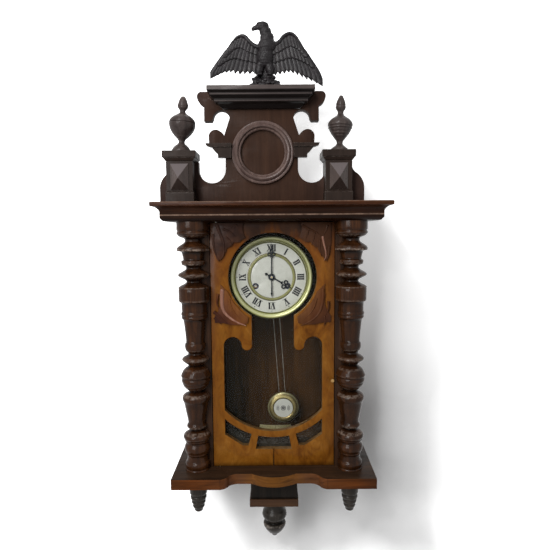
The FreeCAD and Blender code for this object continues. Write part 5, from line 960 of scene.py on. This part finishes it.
# Each winding hole has a dark steel eyelet pressed into the enamel
EYELET = [(4.4, 0.6), (4.4, -0.42), (4.9, -0.7), (6.1, -0.7), (6.6, -0.28), (6.6, 0.0)]
enamel_low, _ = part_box("centre_disc")
for name, label in (("strike_winding_arbor", "left"), ("time_winding_arbor", "right")):
    low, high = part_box(name)
    hole = Vector(((low.x + high.x) / 2, enamel_low.y, (low.z + high.z) / 2))
    lathe(f"winding_eyelet_{label}", hole, EYELET, 40, gong_steel, "blued_steel")


# Hands
# Pierced hands cut from blued steel sheet, the hour hand just off four and the minute hand upright,
# with a small brass collet between them and the tip of the arbor.
hand_steel = steel("blued_hand_steel", tone(27, 28, 32), tone(64, 67, 70), 0.34)
dress("hour_hand minute_hand", hand_steel)


def hand(name, bars, rings, turn, front, body, node):
    """A hand cut from sheet: bars and pierced rings, in millimetres across and out from the arbor."""
    sheet, thick, around = Blank(), 0.8, 20
    for corners in bars:
        sheet.slab([on_dial(x * mm, z * mm, turn) for x, z in bar(*corners)], front * mm, thick * mm)
    for x, z, outer, inner in rings:
        across, up = on_dial(x * mm, z * mm, turn)
        section = [(inner, front), (outer, front), (outer, front + thick), (inner, front + thick)]
        spin(sheet, Vector((across, 0, up)), section, around)
    sheet.piece(name, hand_steel, body, "blued_steel", node, smooth=False)


hand("pierced_hour_hand",
     [(1.5, 6.4, 1.3, 24), (4.2, 23.4, 1.4, 26.4), (2.2, 40.6, 0.35, 48), (1.4, -15.5, 1.3, -6.4),
      (2.8, -13.6, 2.8, -11.2)],
     [(0, 0, 7.2, 4.25), (-5.1, 31.2, 4.9, 2.3), (5.1, 31.2, 4.9, 2.3), (0, 37.8, 4.3, 1.8)],
     math.tau / 3, -120.2, "hour_hand_group", "hour_hand")
hand("pierced_minute_hand",
     [(1.2, 3.8, 1.1, 43), (4.0, 41, 1.2, 44), (2.0, 56.6, 0.4, 69.5), (1.3, -34, 0.8, -3.8),
      (0.2, -41, 2.4, -33)],
     [(0, 0, 4.6, 2.65), (-4.3, 47.6, 4.3, 2.1), (4.3, 47.6, 4.3, 2.1), (0, 53.8, 3.9, 1.8)],
     0.0, -122.4, "minute_hand_group", "minute_hand")


# Door panel
# A pierced panel faced in burr veneer over a softwood core: a keyhole light with lobes, and three
# small windows under a swept rail. The varnish is amber below and has darkened to brown above.
dress("door_frame", veneer, 0.0006)

# The panel has split along the middle below the lowest window
low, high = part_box("door_frame")
split_wide, split_top, split_proud = 1.3 * mm, -0.487, 0.04 * mm
split = Blank()
split.slab(bar(split_wide / 2, low.z + 0.4 * mm, split_wide / 3, split_top), low.y - split_proud, split_proud * 2)
split.piece("door_split", joint_gum, "door", "burr_veneer", smooth=False)


# Door carvings
# Four leaves carved in plum-coloured wood and planted in the corners around the dial. Each has a raised rib with veins
# running off it, rubbed pale along the top, and two of the ribs are made paler still by a painted highlight.
carved = Timber("carved_plum_wood", tone(200, 180, 168), tone(228, 214, 206), tone(255, 250, 244), figure=60,
                rough=0.46, coat=0.02, pale_tone=tone(186, 150, 132), wear_reach=0.0014)
reach = carved.ruffle(outward(carved, dial_centre, 0.088, 0.152), carved.cloud(40, 5, 0.6), 0.5)
plum = carved.ramp(reach, (0.05, tone(128, 84, 42)), (0.4, tone(104, 62, 36)), (0.65, tone(78, 44, 30)),
                   (0.95, tone(58, 34, 34)))
smoked = carved.mottle((50, 5, 0.6), (0.35, tone(40, 27, 23)), (0.65, tone(72, 50, 40)))
plum = carved.blend(carved.ramp(carved.along("Z", -0.12, -0.06), (0.0, 0.0), (1.0, 0.92)), plum, smoked)
right_side = carved.ramp(carved.along("X", -0.02, 0.02), (0.0, 0.0), (1.0, 0.45))
carved.tint_ground(carved.blend(right_side, plum, tone(96, 62, 34)))
dress("door_carvings", carved, 0.001)
# A paler copy of the carved wood, as a painted highlight on the pale ribs
rib_wood = Timber("carved_ribs", tone(104, 66, 50), tone(140, 96, 78), tone(170, 126, 106), figure=70, rough=0.26,
                  coat=0.3, pale_tone=tone(200, 160, 140), wear_reach=0.001)
low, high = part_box("door_carvings")
rib_root, rib_high = low.y + 0.2 * mm, 2.4 * mm


def ribs(name, lines, finish):
    """Raised ribs on the leaves: points across and up in millimetres, and the half width at the root."""
    blank = Blank()
    for corners, wide in lines:
        path = [Vector((spot.x * mm, rib_root, spot.z * mm)) for spot in curved([(x, 0, z) for x, z in corners], 8)]
        radii = [wide * mm * (1.05 - 0.85 * (k / (len(path) - 1)) ** 1.4) for k in range(len(path))]
        tube(blank, path, radii, 10, squash=rib_high / (wide * mm * 1.05))
    blank.piece(name, finish, "door", "carved_wood")


# The lower left leaf has one broad pale rib, and the upper right one a tongue with a pale edge; both pale parts carry a
# painted highlight.
PALE_RIBS = [
    ([(-101, -141), (-102, -158), (-101.5, -175), (-97, -188), (-86, -199), (-70, -209), (-54, -215)], 4.2),
    ([(100, -36), (102.5, -50), (106, -64), (107, -76), (103, -84)], 2.2),
]
AMBER_RIBS = [
    ([(101, -141), (101, -158), (99, -175), (94, -189), (84, -201), (70, -210), (56, -216)], 3.6),
    ([(88, -160), (84, -176), (76, -190), (64, -202)], 2.6), ([(-88, -160), (-84, -176), (-76, -190),
    (-64, -202)], 2.6),
]
DARK_RIBS = [
    ([(-119, -186), (-112, -192), (-102, -201), (-92, -212)], 3.4), ([(-118, -198), (-112, -203), (-104, -212)], 3.0),
    ([(-110, -150), (-112, -168), (-108, -182)], 2.6), ([(112, -166), (112, -182), (106, -196)], 2.4),
    ([(104, -196), (106, -208), (103, -216)], 2.2),
    ([(-110, -12), (-104, -28), (-97, -48), (-97, -70), (-104, -82)], 3.6),
    ([(-117, -30), (-117, -52), (-112, -72), (-106, -84)], 2.6), ([(-98, -20), (-84, -26), (-72, -36)], 2.8),
    ([(-92, -36), (-84, -44), (-80, -54)], 2.2), ([(-70, -12), (-78, -18), (-88, -16)], 2.2),
    ([(60, -14), (74, -22), (90, -30), (100, -38)], 2.8), ([(72, -20), (70, -32), (66, -42)], 2.0),
    ([(84, -28), (82, -42), (78, -54)], 2.2), ([(110, -14), (106, -26), (100, -36)], 2.6),
    ([(113, -56), (112, -72), (107, -86)], 2.6), ([(94, -42), (95, -58), (98, -76)], 2.4),
]
ribs("pale_ribs", PALE_RIBS, rib_wood)
ribs("dark_ribs", AMBER_RIBS + DARK_RIBS, carved)


# Glass, beads, pivots and latch
# One pane of old glass lies in a rebate behind the panel, held by walnut beads. Steel pins carry the
# door at its left edge, and a small brass latch with a knob turns behind the right stile.
pane = Finish("old_window_glass", 0.04, 0.5)
dust = pane.ramp(pane.along("Z", -0.5, -0.42), (0.0, 1.0), (1.0, 0.0))
dust = pane.tint(dust, pane.mottle((46, 6, 0.65), (0.3, 0.3), (0.65, 1.0)))
dark = pane.mottle((20,), (0.3, tone(22, 26, 22)), (0.7, tone(44, 48, 42)))
pane.colour(pane.blend(dust, dark, tone(120, 116, 104)))
pane.feed(pane.skin.inputs["Alpha"], pane.ramp(dust, (0.0, 0.1), (1.0, 0.3)))
pane.relief(pane.cloud(14), 0.0008, 0.15)
dress("door_glass", pane)
dress("glass_beads", case_walnut, 0.0005)
dress("door_pivots", bright_steel)
latch_brass = brass("latch_brass", tone(196, 160, 104), tone(140, 104, 62), 0.3)
dress("door_latch", latch_brass, 0.0003)


# Pendulum
# A flat spring between clamps carries two steel rods with cross bars. The bob is a spun brass lens
# with an enamel disc set in its front, held on a screw by a milled nut.
rod_steel = steel("dull_rod_steel", tone(120, 114, 104), tone(196, 190, 178), 0.4)
dress("suspension_spring", bright_steel)
dress("pendulum_rods", rod_steel)
# The bob's bands are painted reflections and highlights of its lens
ringed_brass("bob_brass", "pendulum_bob", [
    (20, tone(128, 108, 58)), (22, tone(130, 110, 60)), (26, tone(206, 190, 126)), (31, tone(116, 100, 54)),
    (34, tone(232, 226, 172)), (35.3, tone(126, 106, 62))], 0.95, 0.6)
dress("rating_nut", plain_brass)
dress("bob_disc", dial_enamel)

# The marks on the disc: a line near the rim, and a plain rosette with a short bar each side of it
low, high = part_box("bob_disc")
disc_middle = (low + high) / 2
disc_front = low.y
disc_reach = (high.x - low.x) / 2
disc_marks = Blank()
ink_front = disc_front - ink_thick
inner, outer, deep = disc_reach * 0.2 / mm, disc_reach * 0.27 / mm, ink_thick / mm
section = [(inner, 0), (outer, 0), (outer, deep), (inner, deep)]
spin(disc_marks, Vector((disc_middle.x, ink_front, disc_middle.z)), section, 48)
for k in range(6):
    turn = math.tau * k / 6
    petal = [(disc_middle.x + disc_reach * r * math.sin(turn + a), disc_middle.z + disc_reach * r * math.cos(turn + a))
             for r, a in ((0.05, -1.0), (0.17, -0.4), (0.17, 0.4), (0.05, 1.0))]
    disc_marks.slab(petal, ink_front, ink_thick)
for side in (-1, 1):
    for offset, tall in ((0.46, 0.2), (0.56, 0.3), (0.66, 0.2)):
        across, half, up = side * disc_reach * offset, disc_reach * 0.025, disc_reach * tall
        disc_marks.slab(bar(half, disc_middle.z - up, half, disc_middle.z + up, disc_middle.x + across),
                        ink_front, ink_thick)
faded_ink = Finish("faded_bob_ink", 0.4, 0.4)
faded_ink.colour(faded_ink.mottle((500, 5, 0.7), (0.35, tone(58, 58, 60)), (0.65, tone(120, 118, 114))))
disc_marks.piece("bob_marks", faded_ink, "pendulum", "enamel", smooth=False)


# Beat scale
# A small curved plaque of cream enamel on the backboard, with a long line in the middle and short
# ones to each side, against which the swing is read.
plaque = enamel("plaque_enamel", tone(236, 226, 172), tone(206, 190, 132))
dress("beat_scale", plaque, 0.0002)
low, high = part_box("beat_scale")
middle = (low + high) / 2
tall = high.z - low.z
lines = Blank()
steps_each_side, pitch, line = 9, (high.x - low.x) * 0.9 / 18, 0.35 * mm
for k in range(-steps_each_side, steps_each_side + 1):
    reach = 0.42 if k == 0 else 0.3 if k % 3 == 0 else 0.2
    half = line if k == 0 else line / 2
    foot, head = high.z - tall * (0.1 + reach * 1.6), high.z - tall * 0.1
    lines.slab(bar(half, foot, half, head, middle.x + k * pitch), low.y - ink_thick, ink_thick)
lines.piece("beat_marks", ink, "case", "scale_enamel", smooth=False)


# Room, lamps and camera
# A white sheet hangs behind the clock and sweeps into the floor. A wide lamp stands to the left in
# front, one hangs above, a bare bulb gives glints, and a window to the left whitens the sheet.
sheet_near, sheet_top, sheet_foot, sweep = 0.0004, 3.0, -0.8, 0.16
half_sheet, floor_reach = 4.0, 4.0
outline = [(sheet_near, sheet_top), (sheet_near, sheet_foot + sweep)]
for k in range(1, 17):
    turn = math.pi / 2 * k / 16
    outline.append((sheet_near - sweep * (1 - math.cos(turn)), sheet_foot + sweep * (1 - math.sin(turn))))
outline.append((sheet_near - floor_reach, sheet_foot))
mesh = bpy.data.meshes.new("white_sheet")
points = [(x, y, z) for y, z in outline for x in (-half_sheet, half_sheet)]
faces = [[k * 2, k * 2 + 1, k * 2 + 3, k * 2 + 2] for k in range(len(outline) - 1)]
mesh.from_pydata(points, [], faces)
mesh.polygons.foreach_set("use_smooth", [True] * len(mesh.polygons))
backdrop = bpy.data.objects.new("white_sheet", mesh)
bpy.context.scene.collection.objects.link(backdrop)
for ray in ("diffuse", "glossy", "transmission", "shadow"):
    setattr(backdrop, f"visible_{ray}", False)
if mesh.polygons[0].normal.y > 0:
    mesh.flip_normals()
paper = Finish("white_paper", 0.9, 0.1)
paper.colour(paper.mottle((30,), (0.3, tone(244, 244, 244)), (0.7, tone(248, 248, 248))))
rays = paper.node("LightPath").outputs
# The sheet shines a little to the eye, most of all in its upper half
shine_up = paper.ramp(paper.along("Z", -0.8, 0.2), (0.0, 0.02), (0.35, 0.03), (0.8, 0.5), (1.0, 0.7))
shine_out = paper.ramp(paper.along("X", -0.6, 0.6), (0.0, 0.8), (0.3, 0.5), (0.38, 0.0), (0.8, 0.0), (0.9, 0.5),
                       (1.0, 0.8))
shine = paper.times(rays["Is Camera Ray"], paper.sums("MAXIMUM", shine_up, shine_out))
glow = paper.add("Emission", {"Color": (1, 1, 1, 1), "Strength": shine})
lit = paper.add("AddShader", {0: paper.skin.outputs[0], 1: glow})
behind = paper.add("NewGeometry", pick="Backfacing")
one_way = paper.add("MixShader", {0: behind, 1: lit, 2: paper.add("BsdfTransparent")})
paper.feed(paper.tree.nodes["Material Output"].inputs["Surface"], one_way)
mesh.materials.append(paper.made)

# The room lights the clock softly, and looks white to the eye, in reflections and through glass
room_light = 0.26
world = bpy.data.worlds.new("even_room")
bpy.context.scene.world = world
world.use_nodes = True
air, wires = world.node_tree.nodes, world.node_tree.links
rays = air.new("ShaderNodeLightPath").outputs
seen = rays["Is Camera Ray"]
for ray in ("Is Glossy Ray", "Is Transmission Ray"):
    either = air.new("ShaderNodeMath")
    either.operation = "MAXIMUM"
    wires.new(seen, either.inputs[0])
    wires.new(rays[ray], either.inputs[1])
    seen = either.outputs[0]
level = air.new("ShaderNodeMapRange")
level.inputs["To Min"].default_value = room_light
wires.new(seen, level.inputs["Value"])
wires.new(level.outputs[0], air["Background"].inputs["Strength"])
air["Background"].inputs["Color"].default_value = (1, 1, 1, 1)


def lamp(name, spot, target, width, power):
    """A square soft lamp that stands at a spot and faces a target."""
    light = bpy.data.lights.new(name, "AREA")
    light.size = width
    light.energy = power
    made = bpy.data.objects.new(name, light)
    made.location = spot
    made.rotation_euler = (Vector(target) - Vector(spot)).to_track_quat("-Z", "Y").to_euler()
    bpy.context.scene.collection.objects.link(made)
    return made


clock_middle = (0, -0.1, -0.15)
lamp("left_lamp", (-1.15, -2.15, 0.5), clock_middle, 1.1, 32)
lamp("high_lamp", (-0.7, -1.8, 1.7), clock_middle, 0.8, 19)
lamp("bare_bulb", (-0.5, -1.7, 0.9), clock_middle, 0.14, 3.6)
window_light = lamp("window_light", (-1.35, -1.35, 1.45), clock_middle, 0.55, 62)
only_sheet = bpy.data.collections.new("lit_by_window")
only_sheet.objects.link(backdrop)
window_light.light_linking.receiver_collection = only_sheet

# The camera's lens and stand as fitted to the photo's outline
sensor_width, lens_pixels, picture_pixels = 36.0, 470.0, 550.0
stand, tipped, rolled = (0.0051, -1.0901, -0.0291), 84.9, -0.4
camera_data = bpy.data.cameras.new("photo_camera")
camera_data.sensor_width = sensor_width
camera_data.lens = lens_pixels / picture_pixels * sensor_width
camera = bpy.data.objects.new("photo_camera", camera_data)
bpy.context.scene.collection.objects.link(camera)
aim = Matrix.Rotation(math.radians(tipped), 4, "X") @ Matrix.Rotation(math.radians(rolled), 4, "Z")
camera.matrix_world = Matrix.Translation(stand) @ aim
bpy.context.scene.camera = camera
